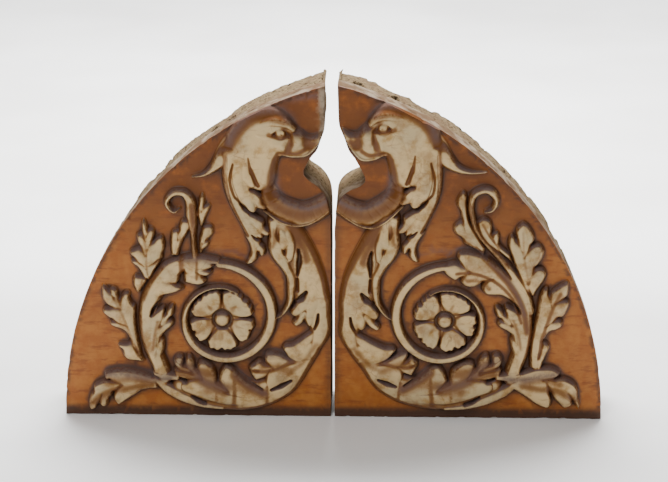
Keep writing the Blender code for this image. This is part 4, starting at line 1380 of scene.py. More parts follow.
def solid(name: str, spots: Array, quads: Array, triangles: Array) -> Item:
    """Makes an object from arrays and puts it in the scene.

    Args:
        name: The object's name, and its mesh's.
        spots: The vertices.
        quads: Four vertex numbers a row.
        triangles: Three vertex numbers a row.

    Returns:
        The object.
    """
    mesh = bpy.data.meshes.new(name)
    mesh.vertices.add(len(spots))
    mesh.vertices.foreach_set("co", np.ascontiguousarray(spots, dtype=np.float32).ravel())
    corners = np.concatenate([quads.ravel(), triangles.ravel()]).astype(np.int32)
    mesh.loops.add(len(corners))
    mesh.loops.foreach_set("vertex_index", corners)
    starts = np.append(np.arange(len(quads)) * 4, 4 * len(quads) + np.arange(len(triangles)) * 3)
    mesh.polygons.add(len(starts))
    mesh.polygons.foreach_set("loop_start", starts.astype(np.int32))
    mesh.update(calc_edges=True)
    mesh.validate()
    item = bpy.data.objects.new(name, mesh)
    bpy.context.scene.collection.objects.link(item)
    return item


def grid_faces(rows: int, columns: int, wrap: bool = False) -> Array:
    """Numbers the corners of a grid's quads.

    Args:
        rows: The grid's rows.
        columns: The grid's columns.
        wrap: Whether the last column joins the first.

    Returns:
        Four vertex numbers a row.
    """
    number = np.arange(rows * columns).reshape(rows, columns)
    if wrap:
        number = np.hstack([number, number[:, :1]])
    corners = (number[:-1, :-1], number[:-1, 1:], number[1:, 1:], number[1:, :-1])
    return np.stack(corners, axis=-1).reshape(-1, 4)


def capped_tube(name: str, rings: Array, ends: Array, inside_out: bool) -> Item:
    """Joins rings of points into a closed tube.

    Args:
        name: The object's name.
        rings: The points, ring by ring.
        ends: The middle of the cap at the first ring and of the one at the last.
        inside_out: Whether the faces as numbered point inward, so that they have to be turned.

    Returns:
        The tube, with its faces outward.
    """
    number, count = rings.shape[:2]
    here = np.arange(count)
    ahead = (here + 1) % count
    walls = grid_faces(number, count, True)
    if inside_out:
        walls = walls[:, ::-1]
    else:
        here, ahead = ahead, here
    first = number * count
    low = np.stack([here, ahead, np.full(count, first)], axis=1)
    high = np.stack([first - count + ahead, first - count + here, np.full(count, first + 1)], axis=1)
    return solid(name, np.vstack([rings.reshape(-1, 3), ends]), walls, np.vstack([low, high]))


def height_slab(name: str, outward: Array, upward: Array, face_y: Array,
                lid_y: float) -> Item:
    """Makes a closed slab with one uneven face.

    Args:
        name: The object's name.
        outward: The grid's columns.
        upward: The grid's rows.
        face_y: The uneven face's Y at each grid point.
        lid_y: The Y of the flat face opposite.

    Returns:
        The slab, with its faces outward.
    """
    rows, columns = face_y.shape
    x, z = np.meshgrid(outward, upward)
    front = np.stack([x, face_y, z], axis=-1).reshape(-1, 3)
    number = np.arange(rows * columns).reshape(rows, columns)
    rim = np.concatenate([number[0, :-1], number[:-1, -1], number[-1, :0:-1], number[:0:-1, 0]])
    ring = front[rim] * (1.0, 0.0, 1.0) + (0.0, lid_y, 0.0)
    centre = ring.mean(axis=0)
    first = len(front)
    count = len(rim)
    here = np.arange(count)
    ahead = (here + 1) % count
    wall = np.stack([rim[ahead], rim[here], first + here, first + ahead], axis=1)
    lid = np.stack([first + ahead, first + here, np.full(count, first + count)], axis=1)
    quads = np.vstack([grid_faces(rows, columns), wall])
    if lid_y < face_y.min():
        quads = quads[:, ::-1]
        lid = lid[:, ::-1]
    return solid(name, np.vstack([front, ring, centre[None]]), quads, lid)


def baked(item: Item) -> None:
    """Turns an object's modifiers into plain mesh.

    Args:
        item: The object.
    """
    bpy.context.view_layer.update()
    evaluated = item.evaluated_get(bpy.context.evaluated_depsgraph_get())
    mesh = bpy.data.meshes.new_from_object(evaluated)
    item.modifiers.clear()
    old = item.data
    item.data = mesh
    bpy.data.meshes.remove(old)


def combine(item: Item, other: Item, operation: str) -> None:
    """Applies one Boolean and removes the other solid.

    Args:
        item: The object that is kept.
        other: The solid that it is combined with.
        operation: INTERSECT or DIFFERENCE.
    """
    cut = item.modifiers.new(operation.title(), "BOOLEAN")
    cut.operation = operation
    cut.solver = "MANIFOLD"
    cut.object = other
    baked(item)
    bpy.data.objects.remove(other)


@dataclass
class BlockShell:
    """The rough edge of a block: its base, extrados, joint face and the notch of the mouth."""

    side: Side
    pitch: float = 0.0026
    depth_pitch: float = 0.0030
    step: float = 0.0032
    roughness: float = 0.0030
    worn_arris: float = 0.0012
    back_chips: float = 0.010
    corner_wear: float = 0.012
    overlap: float = 0.010
    first_level: float = -0.036
    arris_levels: tuple = (0.0, 0.0008, 0.0018)

    def outline(self) -> tuple[Array, Array]:
        """Draws the block's edge.

        Returns:
            The points at an even pitch, and for each how much it belongs to the extrados.
        """
        drawing = Drawing(self.side)
        centre = SIZE.width - SIZE.radius
        angle = np.linspace(0.0, arch_end(drawing), SIZE.arc_steps)
        arch = np.stack([centre + SIZE.radius * np.cos(angle), SIZE.radius * np.sin(angle)], axis=1)
        snout = smooth_line(drawing.face(SNOUT_EDGE, 0.0), 5)
        jaw = smooth_line(drawing.face(JAW_EDGE, 0.0), 5)
        heel = np.array([[0.0, jaw[-1, 1] - JAW_SHOULDER], [0.0, 0.0], [SIZE.width, 0.0]])
        line = np.vstack([arch, snout, jaw, heel])
        run = np.concatenate([[0.0], np.cumsum(np.linalg.norm(np.diff(line, axis=0), axis=1))])
        mark = np.clip(1.0 - (run - run[len(arch) - 1]) / self.corner_wear, 0.0, 1.0)
        even = np.linspace(0.0, run[-1], int(run[-1] / self.pitch), endpoint=False)
        corners = run[[0, len(arch) - 1, len(line) - 3, len(line) - 2]]
        for corner in corners:
            even[np.abs(even - corner).argmin()] = corner
        spots = np.stack([np.interp(even, run, line[:, 0]), np.interp(even, run, line[:, 1])], axis=1)
        return spots, np.interp(even, run, mark)

    def build(self, rng: np.random.Generator) -> Item:
        """Makes the shell as a closed solid.

        Args:
            rng: The source of the random numbers.

        Returns:
            The shell.
        """
        spots, arch = self.outline()
        along_edge = np.roll(spots, -1, axis=0) - np.roll(spots, 1, axis=0)
        inward = np.stack([-along_edge[:, 1], along_edge[:, 0]], axis=1)
        inward /= np.linalg.norm(inward, axis=1)[:, None]
        front, back = -2 * SIZE.relief, SIZE.depth + self.overlap
        levels = np.concatenate([[front], np.arange(self.first_level, back + 0.001, self.depth_pitch)])
        levels = np.sort(np.append(levels, self.arris_levels))
        count, rings = len(spots), len(levels)
        shape = (rings, count)
        y = levels[:, None]
        ragged = SIZE.margin + 0.003 * soft_noise(shape, 9.0, rng) + 0.004 * soft_noise(shape, 30.0, rng)
        rough = ease(y - ragged, -0.0015, 0.0015) * arch[None]
        coarse = 0.5 + 0.5 * soft_noise(shape, 7.0, rng)
        grain = 0.5 + 0.5 * soft_noise(shape, 2.3, rng)
        broad = 0.5 + 0.5 * soft_noise(shape, 26.0, rng)
        offset = rough * (self.step + self.roughness * (0.45 * coarse + 0.35 * grain + 0.5 * broad))
        pits = ease(soft_noise(shape, 3.4, rng), 0.62, 0.86)
        offset += rough * 0.004 * pits
        tail = ease(y, SIZE.depth - 0.030, SIZE.depth)
        chip = ease(soft_noise(shape, 18.0, rng) + 0.35 * soft_noise(shape, 5.0, rng), 0.0, 0.9)
        offset += arch[None] * tail * self.back_chips * chip
        plain = (1.0 - rough) * ease(y, 0.002, 0.010)
        offset += plain * 0.0007 * (0.5 + 0.5 * soft_noise(shape, 12.0, rng))
        arris = np.exp(-np.abs(y) / 0.0016) * (0.5 + 0.5 * soft_noise((rings, count), 6.0, rng)[:1])
        nick = ease(soft_noise((1, count), 5.0, rng), 0.55, 0.9) * np.exp(-np.maximum(y, 0.0) / 0.004)
        offset += self.worn_arris * arris + 0.0018 * nick * (y < 0.012)
        offset[0] = offset[1]
        shell = spots[None] + inward[None] * offset[..., None]
        deep = np.broadcast_to(y[..., None], (rings, count, 1))
        ends = np.array([(SIZE.width * 0.4, end, SIZE.height * 0.3) for end in (front, back)])
        tube = np.concatenate([shell[..., :1], deep, shell[..., 1:]], axis=2)
        return capped_tube("shell", tube, ends, True)


class Wiring:
    """A small builder of the nodes of one tree."""

    def __init__(self, tree: bpy.types.NodeTree) -> None:
        """Starts on a tree.

        Args:
            tree: The tree.
        """
        self.nodes = tree.nodes
        self.links = tree.links

    def node(self, kind: str, **settings: object) -> bpy.types.Node:
        """Adds a node.

        Args:
            kind: The node's type.
            **settings: Properties to set on it.

        Returns:
            The node.
        """
        node = self.nodes.new(kind)
        for name, value in settings.items():
            setattr(node, name, value)
        return node

    def put(self, socket: Socket, value: object) -> None:
        """Links a socket to an input, or sets the input's own value.

        Args:
            socket: The input.
            value: A socket, a number, a vector, or a colour of three parts.
        """
        if isinstance(value, Socket):
            self.links.new(value, socket)
        elif socket.type == "RGBA":
            socket.default_value = (*value, 1.0)
        else:
            socket.default_value = value

    def feed(self, node: bpy.types.Node, **inputs: object) -> None:
        """Sets or links a node's inputs.

        Args:
            node: The node.
            **inputs: What goes into each, by its name with underscores for spaces.
        """
        for name, value in inputs.items():
            self.put(node.inputs[name.replace("_", " ")], value)

    def math(self, operation: str, first: object, second: object = 0.0, clamp: bool = False) -> Socket:
        """Combines two values.

        Args:
            operation: The operation.
            first: A socket or a number.
            second: A socket or a number.
            clamp: Whether the result is kept from 0 to 1.

        Returns:
            The result.
        """
        node = self.node("ShaderNodeMath", operation=operation, use_clamp=clamp)
        self.put(node.inputs[0], first)
        self.put(node.inputs[1], second)
        return node.outputs[0]


class Shade(Wiring):
    """A small builder of one material's nodes."""

    def __init__(self, name: str) -> None:
        """Starts a material.

        Args:
            name: The material's name.
        """
        self.material = bpy.data.materials.new(name)
        self.material.use_nodes = True
        super().__init__(self.material.node_tree)
        self.shader = self.nodes["Principled BSDF"]
        self.place = self.nodes.new("ShaderNodeTexCoord").outputs["Object"]

    def attribute(self, name: str) -> Socket:
        """Reads one of the mesh's own values."""
        return self.node("ShaderNodeAttribute", attribute_name=name).outputs["Fac"]

    def noise(self, scale: float, detail: float = 3.0, roughness: float = 0.55,
              stretch: tuple[float, float, float] = (1.0, 1.0, 1.0)) -> Socket:
        """Adds noise in the object's own coordinates.

        Args:
            scale: Patches a metre.
            detail: Its octaves.
            roughness: How strong the finer ones are.
            stretch: A scale for each axis.

        Returns:
            The noise's value.
        """
        mapping = self.node("ShaderNodeMapping")
        self.feed(mapping, Vector=self.place, Scale=stretch)
        node = self.node("ShaderNodeTexNoise")
        self.feed(node, Vector=mapping.outputs[0], Scale=scale, Detail=detail, Roughness=roughness)
        return node.outputs["Fac"]

    def cracks(self, scale: float, bend: float = 0.02) -> Socket:
        """Gives the distance from a net of fine cracks.

        Args:
            scale: Cells a metre.
            bend: How far the net wanders.

        Returns:
            The distance.
        """
        wander = self.node("ShaderNodeTexNoise")
        self.feed(wander, Vector=self.place, Scale=scale * 0.6, Detail=2.0)
        shift = self.node("ShaderNodeVectorMath", operation="MULTIPLY_ADD")
        for socket, value in zip(shift.inputs, (wander.outputs["Color"], (bend, bend, bend), self.place)):
            self.put(socket, value)
        cell = self.node("ShaderNodeTexVoronoi", feature="DISTANCE_TO_EDGE")
        self.feed(cell, Vector=shift.outputs[0], Scale=scale)
        return cell.outputs["Distance"]

    def step(self, value: Socket, low: float, high: float, top: float = 1.0) -> Socket:
        """Gives a soft step from 0 to a top.

        Args:
            value: The value.
            low: Where the step starts.
            high: Where it ends, lower than the start for a falling one.
            top: The value at its end.

        Returns:
            The stepped value.
        """
        node = self.node("ShaderNodeMapRange", interpolation_type="SMOOTHSTEP")
        ends = (low, high, 0.0, top) if low < high else (high, low, top, 0.0)
        for socket, end in zip(node.inputs, (value, *ends)):
            self.put(socket, end)
        return node.outputs[0]

    def mix(self, factor: object, first: object, second: object) -> Socket:
        """Mixes two colours.

        Args:
            factor: How much of the second there is.
            first: A socket or a colour.
            second: A socket or a colour.

        Returns:
            The colour.
        """
        node = self.node("ShaderNodeMix", data_type="RGBA")
        for number, value in ((0, factor), (6, first), (7, second)):
            self.put(node.inputs[number], value)
        return node.outputs[2]

    def bump(self, height: Socket, strength: object, distance: float,
             normal: Socket | None = None) -> Socket:
        """Roughens the surface's normal.

        Args:
            height: The height.
            strength: How strong it is.
            distance: What a height of 1 measures.
            normal: A bump to add it to.

        Returns:
            The normal.
        """
        node = self.node("ShaderNodeBump")
        self.feed(node, Height=height, Strength=strength, Distance=distance)
        if normal is not None:
            self.feed(node, Normal=normal)
        return node.outputs[0]


def shown(red: int, green: int, blue: int) -> tuple[float, float, float]:
    """Turns a colour from display values to linear ones.

    Args:
        red: Red, 0 to 255.
        green: Green.
        blue: Blue.

    Returns:
        The linear colour.
    """
    share = [value / 255.0 for value in (red, green, blue)]
    return tuple(value / 12.92 if value <= 0.04045 else ((value + 0.055) / 1.055) ** 2.4 for value in share)


@dataclass(frozen=True)
class GlazedTerracotta:
    """Fired clay under a two-colour satin glaze, with its wear, dirt and painted shade, crazing and bare
    edges.
    """

    field_glaze: tuple = shown(144, 79, 14)
    field_light: tuple = shown(160, 97, 32)
    field_deep: tuple = shown(104, 46, 2)
    field_upper: tuple = shown(96, 48, 4)
    cream: tuple = shown(202, 172, 122)
    cream_cool: tuple = shown(182, 160, 118)
    cream_warm: tuple = shown(156, 116, 54)
    slope: tuple = shown(120, 76, 26)
    # Old brown of the glaze, also used as painted shade on steep sides and in hollows.
    patina_and_shade: tuple = shown(96, 54, 20)
    shadow: tuple = shown(58, 35, 20)
    upward_grey_tone: tuple = shown(102, 85, 82)
    bare_pale: tuple = shown(152, 136, 116)
    bare_margin: tuple = shown(112, 90, 70)
    bare_rough: tuple = shown(130, 112, 86)
    bare_soot_and_shade: tuple = shown(58, 44, 32)
    roughness: float = 0.44
    glare: float = 0.36

    def material(self, name: str) -> bpy.types.Material:
        """Builds the finish.

        Args:
            name: The material's name.

        Returns:
            The material.
        """
        shade = Shade(name)
        relief = shade.attribute("ornament")
        hollow = shade.attribute("hollow")
        upward_grey = shade.attribute("upward_grey")
        bare = shade.attribute("bare")
        mottle = shade.noise(34.0, 4.0, 0.62)
        fine = shade.noise(150.0, 3.0, 0.6)
        line = shade.step(shade.cracks(30.0), 0.022, 0.003)
        broad = shade.noise(9.0, 3.0)
        streak = shade.noise(60.0, 3.0, 0.6, (0.35, 1.0, 1.6))
        ground = self.ground(shade, mottle, broad, streak)
        colour = shade.mix(relief, ground, self.form(shade, mottle, broad, streak, line))
        speckle = shade.math("ADD", shade.math("MULTIPLY", fine, 0.5), 0.75)
        # Painted shade and dirt: hollows and the field round raised forms turn brown, and the deepest of
        # them turn shadow dark.
        grime_and_shade = shade.math("MULTIPLY", hollow, speckle, True)
        colour = shade.mix(shade.step(grime_and_shade, 0.08, 0.62, 0.85), colour, self.patina_and_shade)
        colour = shade.mix(shade.step(grime_and_shade, 0.50, 1.10, 0.85), colour, self.shadow)
        # Painted highlight: convex arrises of the carving lightened to cream.
        lit = shade.math("MULTIPLY", shade.attribute("edge"), shade.step(fine, 0.35, 0.65, 0.50), True)
        colour = shade.mix(lit, colour, self.cream)
        # Grey film on carving that faces upward and along the grey strokes.
        greyed = shade.math("MAXIMUM", upward_grey, shade.attribute("grey"))
        thickness = shade.math("ADD", shade.step(fine, 0.25, 0.60, 0.30), 0.62)
        film = shade.math("MULTIPLY", greyed, thickness, True)
        colour = shade.mix(film, colour, self.upward_grey_tone)
        colour = shade.mix(shade.attribute("stain"), colour, self.shadow)
        colour = shade.mix(bare, colour, self.bare_clay(shade, mottle, fine, grime_and_shade))
        shade.feed(shade.shader, Base_Color=colour)
        matt = shade.math("MAXIMUM", shade.attribute("matt"), shade.math("MAXIMUM", bare, film))
        dull = shade.math("MULTIPLY", matt, 0.45)
        gloss = shade.math("ADD", self.roughness - 0.10, shade.math("MULTIPLY", mottle, 0.22))
        glare = shade.math("SUBTRACT", self.glare, shade.math("MULTIPLY", dull, 0.8), True)
        shade.feed(shade.shader, Roughness=shade.math("ADD", gloss, dull, True), Specular_IOR_Level=glare)
        pits = shade.step(shade.noise(420.0, 2.0), 0.60, 0.78)
        normal = shade.bump(shade.noise(95.0, 4.0, 0.6), 0.35, 0.0012)
        normal = shade.bump(line, shade.math("MULTIPLY", relief, -0.25), 0.0004, normal)
        pitted = shade.math("ADD", shade.math("MULTIPLY", bare, 0.6), 0.12)
        normal = shade.bump(pits, pitted, -0.0010, normal)
        gritty = shade.math("ADD", shade.math("MULTIPLY", bare, 0.8), 0.06)
        normal = shade.bump(shade.noise(700.0, 3.0, 0.6), gritty, 0.0008, normal)
        shade.feed(shade.shader, Normal=normal)
        return shade.material

    def ground(self, shade: Shade, mottle: Socket, broad: Socket, streak: Socket) -> Socket:
        """Colours the plain field, orange low down and brown above.

        Args:
            shade: The material's nodes.
            mottle: The glaze's uneven patches.
            broad: Its broad clouds.
            streak: Its level streaks.

        Returns:
            The colour.
        """
        ground = shade.mix(shade.step(mottle, 0.36, 0.66), self.field_glaze, self.field_light)
        ground = shade.mix(shade.step(streak, 0.50, 0.72, 0.60), ground, self.field_deep)
        ground = shade.mix(shade.step(broad, 0.54, 0.74, 0.40), ground, self.field_deep)
        tone = shade.math("MULTIPLY", shade.attribute("upper"), shade.step(mottle, 0.20, 0.55), True)
        return shade.mix(tone, ground, self.field_upper)

    def form(self, shade: Shade, mottle: Socket, broad: Socket, streak: Socket, line: Socket) -> Socket:
        """Colours the carving, cream on its crowns and brown down its sides; the brown on steep sides and
        in sunk places is painted shade.

        Args:
            shade: The material's nodes.
            mottle: The glaze's uneven patches.
            broad: Its broad clouds.
            streak: Its level streaks.
            line: Where the glaze is crazed.

        Returns:
            The colour.
        """
        form = shade.mix(shade.step(broad, 0.40, 0.62), self.cream, self.cream_cool)
        form = shade.mix(shade.step(mottle, 0.48, 0.70, 0.75), form, self.cream_warm)
        form = shade.mix(shade.step(streak, 0.56, 0.76, 0.45), form, self.slope)
        form = shade.mix(shade.step(shade.noise(19.0, 4.0, 0.65), 0.48, 0.70, 0.58), form, self.slope)
        # Painted shade: steep side walls and places sunk below the forms' level turn brown, together with
        # the brown strokes and the mottle.
        worn_and_shaded = shade.math("ADD", shade.attribute("steep"), shade.math("MULTIPLY", mottle, 0.5))
        worn_and_shaded = shade.math("ADD", worn_and_shaded, shade.math("MULTIPLY", shade.attribute("brown"), 1.35))
        worn_and_shaded = shade.math("ADD", worn_and_shaded, shade.math("MULTIPLY", shade.attribute("sunk"), 0.75))
        form = shade.mix(shade.step(worn_and_shaded, 0.38, 1.05, 0.90), form, self.slope)
        form = shade.mix(shade.step(worn_and_shaded, 0.85, 1.60, 0.85), form, self.patina_and_shade)
        broken = shade.step(shade.noise(20.0, 2.0), 0.50, 0.62)
        craze = shade.math("MULTIPLY", shade.math("MULTIPLY", line, broken), 0.35)
        return shade.mix(craze, form, self.patina_and_shade)

    def bare_clay(self, shade: Shade, mottle: Socket, fine: Socket,
                  grime_and_shade: Socket) -> Socket:
        """Colours the bare clay of the edge and back.

        Args:
            shade: The material's nodes.
            mottle: Its uneven patches.
            fine: Its fine speckle.
            grime_and_shade: Where dirt gathers and painted shade darkens the hollows.

        Returns:
            The colour.
        """
        patches = shade.noise(22.0, 4.0, 0.6)
        stone = shade.mix(shade.step(patches, 0.40, 0.60), self.bare_pale, self.bare_margin)
        stone = shade.mix(shade.step(mottle, 0.50, 0.74, 0.6), stone, self.bare_soot_and_shade)
        crust = shade.mix(shade.step(fine, 0.46, 0.70), self.bare_rough, self.bare_soot_and_shade)
        crust = shade.mix(shade.step(mottle, 0.45, 0.65, 0.6), crust, self.bare_margin)
        stone = shade.mix(shade.attribute("rough"), stone, crust)
        # Painted shade: the bare clay darkens in the hollows too.
        return shade.mix(shade.step(grime_and_shade, 0.30, 0.90, 0.7), stone, self.bare_soot_and_shade)


class ClayGrain(Wiring):
    """A geometry tree that roughens the bare clay of a block and gives it its finish."""

    def __init__(self, material: bpy.types.Material) -> None:
        """Builds the tree.

        Args:
            material: The finish that it sets.
        """
        self.tree = bpy.data.node_groups.new("clay_grain", "GeometryNodeTree")
        super().__init__(self.tree)
        face = self.tree.interface
        face.new_socket("Geometry", in_out="INPUT", socket_type="NodeSocketGeometry")
        for name in ("Grain height", "Grains per metre", "Seed"):
            face.new_socket(name, in_out="INPUT", socket_type="NodeSocketFloat")
        face.new_socket("Geometry", in_out="OUTPUT", socket_type="NodeSocketGeometry")
        start = self.node("NodeGroupInput").outputs
        end = self.node("NodeGroupOutput")
        noise = self.node("ShaderNodeTexNoise", noise_dimensions="4D")
        place = self.node("GeometryNodeInputPosition").outputs[0]
        self.feed(noise, Vector=place, Scale=start["Grains per metre"], W=start["Seed"], Detail=3.0)
        named = self.node("GeometryNodeInputNamedAttribute", data_type="FLOAT")
        self.feed(named, Name="grain")
        amount = self.math("MULTIPLY", noise.outputs["Fac"], named.outputs["Attribute"])
        amount = self.math("MULTIPLY", amount, start["Grain height"])
        inward = self.node("ShaderNodeVectorMath", operation="SCALE")
        self.put(inward.inputs[0], self.node("GeometryNodeInputNormal").outputs[0])
        self.feed(inward, Scale=self.math("MULTIPLY", amount, -1.0))
        move = self.node("GeometryNodeSetPosition")
        self.feed(move, Geometry=start["Geometry"], Offset=inward.outputs[0])
        whole = self.node("GeometryNodeRealizeInstances")
        self.put(whole.inputs[0], move.outputs[0])
        finish = self.node("GeometryNodeSetMaterial")
        self.feed(finish, Geometry=whole.outputs[0], Material=material)
        self.put(end.inputs[0], finish.outputs[0])

    def apply(self, item: Item, height: float, grains: float, seed: float) -> None:
        """Roughens one block and bakes the result.

        Args:
            item: The block.
            height: The grain's height.
            grains: Grains a metre.
            seed: The grain's seed.
        """
        step = item.modifiers.new("Clay grain", "NODES")
        step.node_group = self.tree
        values = {"Grain height": height, "Grains per metre": grains, "Seed": seed}
        for socket in self.tree.interface.items_tree:
            if socket.in_out == "INPUT" and socket.name in values:
                step[socket.identifier] = values[socket.name]
        baked(item)


@dataclass
class HalfBlock:
    """One half of the lunette: the carved slab, cut to the block's edge and finished."""

    side: Side
    carving: Carving
    shell: BlockShell
    seed: int
    most_triangles: int = 190000
    hole_radius: float = 0.009
    hole_depth: float = 0.030
    hole_setback: float = 0.035
    hole_sides: int = 16
    hole_flare: tuple = ((0.012, 1.5), (-0.003, 1.25), (-0.010, 0.95))
    left_holes: tuple = (0.645, 0.733, 0.777)
    right_holes: tuple = (0.955, 0.87)
    grain_height: float = 0.0016
    grains: float = 160.0
    back_step: float = 0.006

    @property
    def name(self) -> str:
        """The node that this block stands for."""
        return f"{self.side.value}_half_block"

    def build(self, grain: ClayGrain) -> Item:
        """Makes the finished block.

        Args:
            grain: The tree that roughens the bare clay.

        Returns:
            The block, in its place.
        """
        rng = np.random.default_rng(self.seed)
        face = self.carving.relief(rng)
        name = f"{self.side.value}_block"
        block = height_slab(name, face.outward, face.upward, -face.height, SIZE.depth + 0.02)
        combine(block, self.shell.build(rng), "INTERSECT")
        combine(block, self.back(rng), "INTERSECT")
        for hole in self.holes(rng):
            combine(block, hole, "DIFFERENCE")
        self.thin(block)
        self.mark_grain(block)
        grain.apply(block, self.grain_height, self.grains, float(self.seed))
        self.paint(block, face)
        self.set_down(block)
        return block

    def back(self, rng: np.random.Generator) -> Item:
        """Makes the solid whose far side is the block's uneven back.

        Args:
            rng: The source of the random numbers.

        Returns:
            The solid.
        """
        outward = np.arange(-0.04, SIZE.width + 0.04, self.back_step)
        upward = np.arange(-0.04, SIZE.height + 0.04, self.back_step)
        shape = (len(upward), len(outward))
        wave = 0.5 + 0.3 * soft_noise(shape, 12.0, rng) + 0.2 * soft_noise(shape, 3.0, rng)
        return height_slab("back", outward, upward, SIZE.depth - 0.0015 * wave, -0.2)

    def holes(self, rng: np.random.Generator) -> list[Item]:
        """Makes a cutter for each cramp hole in the rough top behind the margin.

        Args:
            rng: The source of the random numbers.

        Returns:
            The cutters.
        """
        centre, end = SIZE.width - SIZE.radius, arch_end(Drawing(self.side))
        turns = np.arange(self.hole_sides) * math.tau / self.hole_sides
        cutters = []
        for share in self.left_holes if self.side is Side.LEFT else self.right_holes:
            angle = share * end
            out = np.array([math.cos(angle), 0.0, math.sin(angle)])
            over = np.array([-math.sin(angle), 0.0, math.cos(angle)])
            mouth = np.array([centre, SIZE.margin + self.hole_setback, 0.0]) + out * SIZE.radius
            uneven = self.hole_radius * rng.uniform(0.82, 1.12, self.hole_sides)
            circle = np.cos(turns)[:, None] * over + np.sin(turns)[:, None] * np.array([0.0, 1.3, 0.0])
            rings = np.array([mouth + out * deep + circle * (uneven * scale)[:, None]
                              for deep, scale in (*self.hole_flare, (-self.hole_depth, 0.8))])
            cutters.append(capped_tube("hole", rings, rings[[0, -1]].mean(axis=1), False))
        return cutters

    def thin(self, block: Item) -> None:
        """Merges the flattest faces until the block is light enough.

        Args:
            block: The block.
        """
        count = sum(len(face.vertices) - 2 for face in block.data.polygons)
        if count > self.most_triangles:
            fewer = block.modifiers.new("Fewer faces", "DECIMATE")
            fewer.ratio = self.most_triangles / count
            baked(block)

    def spots(self, block: Item) -> Array:
        """Reads the block's vertices.

        Args:
            block: The block.

        Returns:
            Their places.
        """
        spots = np.empty(len(block.data.vertices) * 3, dtype=np.float32)
        block.data.vertices.foreach_get("co", spots)
        return spots.reshape(-1, 3).astype(float)

    def write(self, block: Item, name: str, values: Array) -> None:
        """Keeps a value for each vertex.

        Args:
            block: The block.
            name: The attribute's name.
            values: Its values.
        """
        layer = block.data.attributes.get(name) or block.data.attributes.new(name, "FLOAT", "POINT")
        layer.data.foreach_set("value", np.ascontiguousarray(np.clip(values, 0.0, 1.0), dtype=np.float32))

    def mark_grain(self, block: Item) -> None:
        """Marks where the clay is bare and rough.

        Args:
            block: The block.
        """
        spots = self.spots(block)
        side = ease(spots[:, 1], 0.050, 0.060)
        behind = ease(spots[:, 1], SIZE.depth - 0.004, SIZE.depth)
        foot = ease(spots[:, 2], 0.0, 0.006)
        joint = ease(spots[:, 0], 0.0, 0.006)
        self.write(block, "grain", side * (1.0 - 0.6 * behind) * foot * joint)

    def paint(self, block: Item, face: Relief) -> None:
        """Gives each vertex the values that its finish reads.

        Args:
            block: The block.
            face: Its relief.
        """
        spots = self.spots(block)
        out, deep, up = spots.T
        height = face.height
        normal = np.empty(len(spots) * 3, dtype=np.float32)
        block.data.vertex_normals.foreach_get("vector", normal)
        normal = normal.reshape(-1, 3)
        ornament = ease(face.sample(height, out, up), 0.0010, 0.0045)
        close = face.sample(blur(height, 3) - height, out, up)
        wide = face.sample(blur(height, 9) - height, out, up)
        form = ease(height, 0.006, 0.012)
        level = blur(height * form, 10) / np.maximum(blur(form, 10), 0.05)
        sunk = face.sample((level - height) * form, out, up)
        brown = face.sample(face.brown, out, up)
        rubbed = face.sample(face.rubbed, out, up)
        front = 1.0 - ease(deep, 0.0014, 0.0036)
        bottom = 1.0 - ease(up, 0.014, 0.028)
        joint = (1.0 - ease(out, 0.003, 0.018)) * ease(up, 0.0, 0.05)
        rim = SIZE.radius - np.hypot(out - (SIZE.width - SIZE.radius), up)
        rim_line = 1.0 - ease(np.abs(rim - 0.0035), 0.0012, 0.0040)
        stain = np.maximum.reduce([bottom * 0.95, joint * 0.5, rim_line * 0.8])
        values = {
            "ornament": ornament,
            # Painted shade and brown dirt: darker in hollows and on the field round raised forms.
            "hollow": ease(close, 0.0004, 0.0050) * 0.75 + ease(wide, 0.0015, 0.0100) * 0.5,
            # Painted highlight on convex arrises of the carving.
            "edge": ease(-close, 0.0006, 0.0030) * ornament * (1.0 - 0.7 * brown),
            "matt": ease(normal[:, 2], 0.20, 0.60) * ornament,
            # Grey on carving that faces upward, less where it is brown or rubbed.
            "upward_grey": ease(normal[:, 2], 0.34, 0.76) * ornament * (1.0 - 0.85 * brown)
                     * (1.0 - 0.85 * rubbed),
            # Painted shade: carving that turns sideways from the front.
            "steep": ease(1.0 + normal[:, 1], 0.05, 0.55) * ornament * (1.0 - 0.7 * rubbed),
            # Painted shade: carving sunk below its forms' local level.
            "sunk": ease(sunk, 0.0002, 0.0032) * ornament * (1.0 - 0.7 * rubbed),
            "brown": brown * ornament,
            "grey": face.sample(face.grey, out, up) * (1.0 - 0.7 * rubbed),
            "upper": ease(up, 0.30, 0.50) * 0.85,
            "stain": stain * (1.0 - ornament),
        }
        strip = (1.0 - ease(out, 0.022, 0.026)) * ease(up, 0.570, 0.610) * (self.side is Side.LEFT)
        for name, value in values.items():
            self.write(block, name, value * front * (1.0 - strip))
        self.write(block, "bare", np.maximum(1.0 - front, strip))
        self.write(block, "rough", ease(deep, SIZE.margin - 0.001, SIZE.margin + 0.003))

    def set_down(self, block: Item) -> None:
        """Carries the block from its own measures to its place beside the joint.

        Args:
            block: The block.
        """
        turn = self.side.turn
        spots = self.spots(block) * (turn, 1.0, 1.0) + (turn * SIZE.gap / 2, SIZE.front, 0.0)
        mesh = block.data
        mesh.vertices.foreach_set("co", np.ascontiguousarray(spots, dtype=np.float32).ravel())
        if self.side is Side.LEFT:
            mesh.flip_normals()
        mesh.update()
        mesh.shade_smooth()
        mesh.set_sharp_from_angle(angle=math.radians(50.0))

    def settle(self, block: Item) -> None:
        """Binds the block to the frame.

        Args:
            block: The block.
        """
        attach(block, "root")
        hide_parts(self.name)


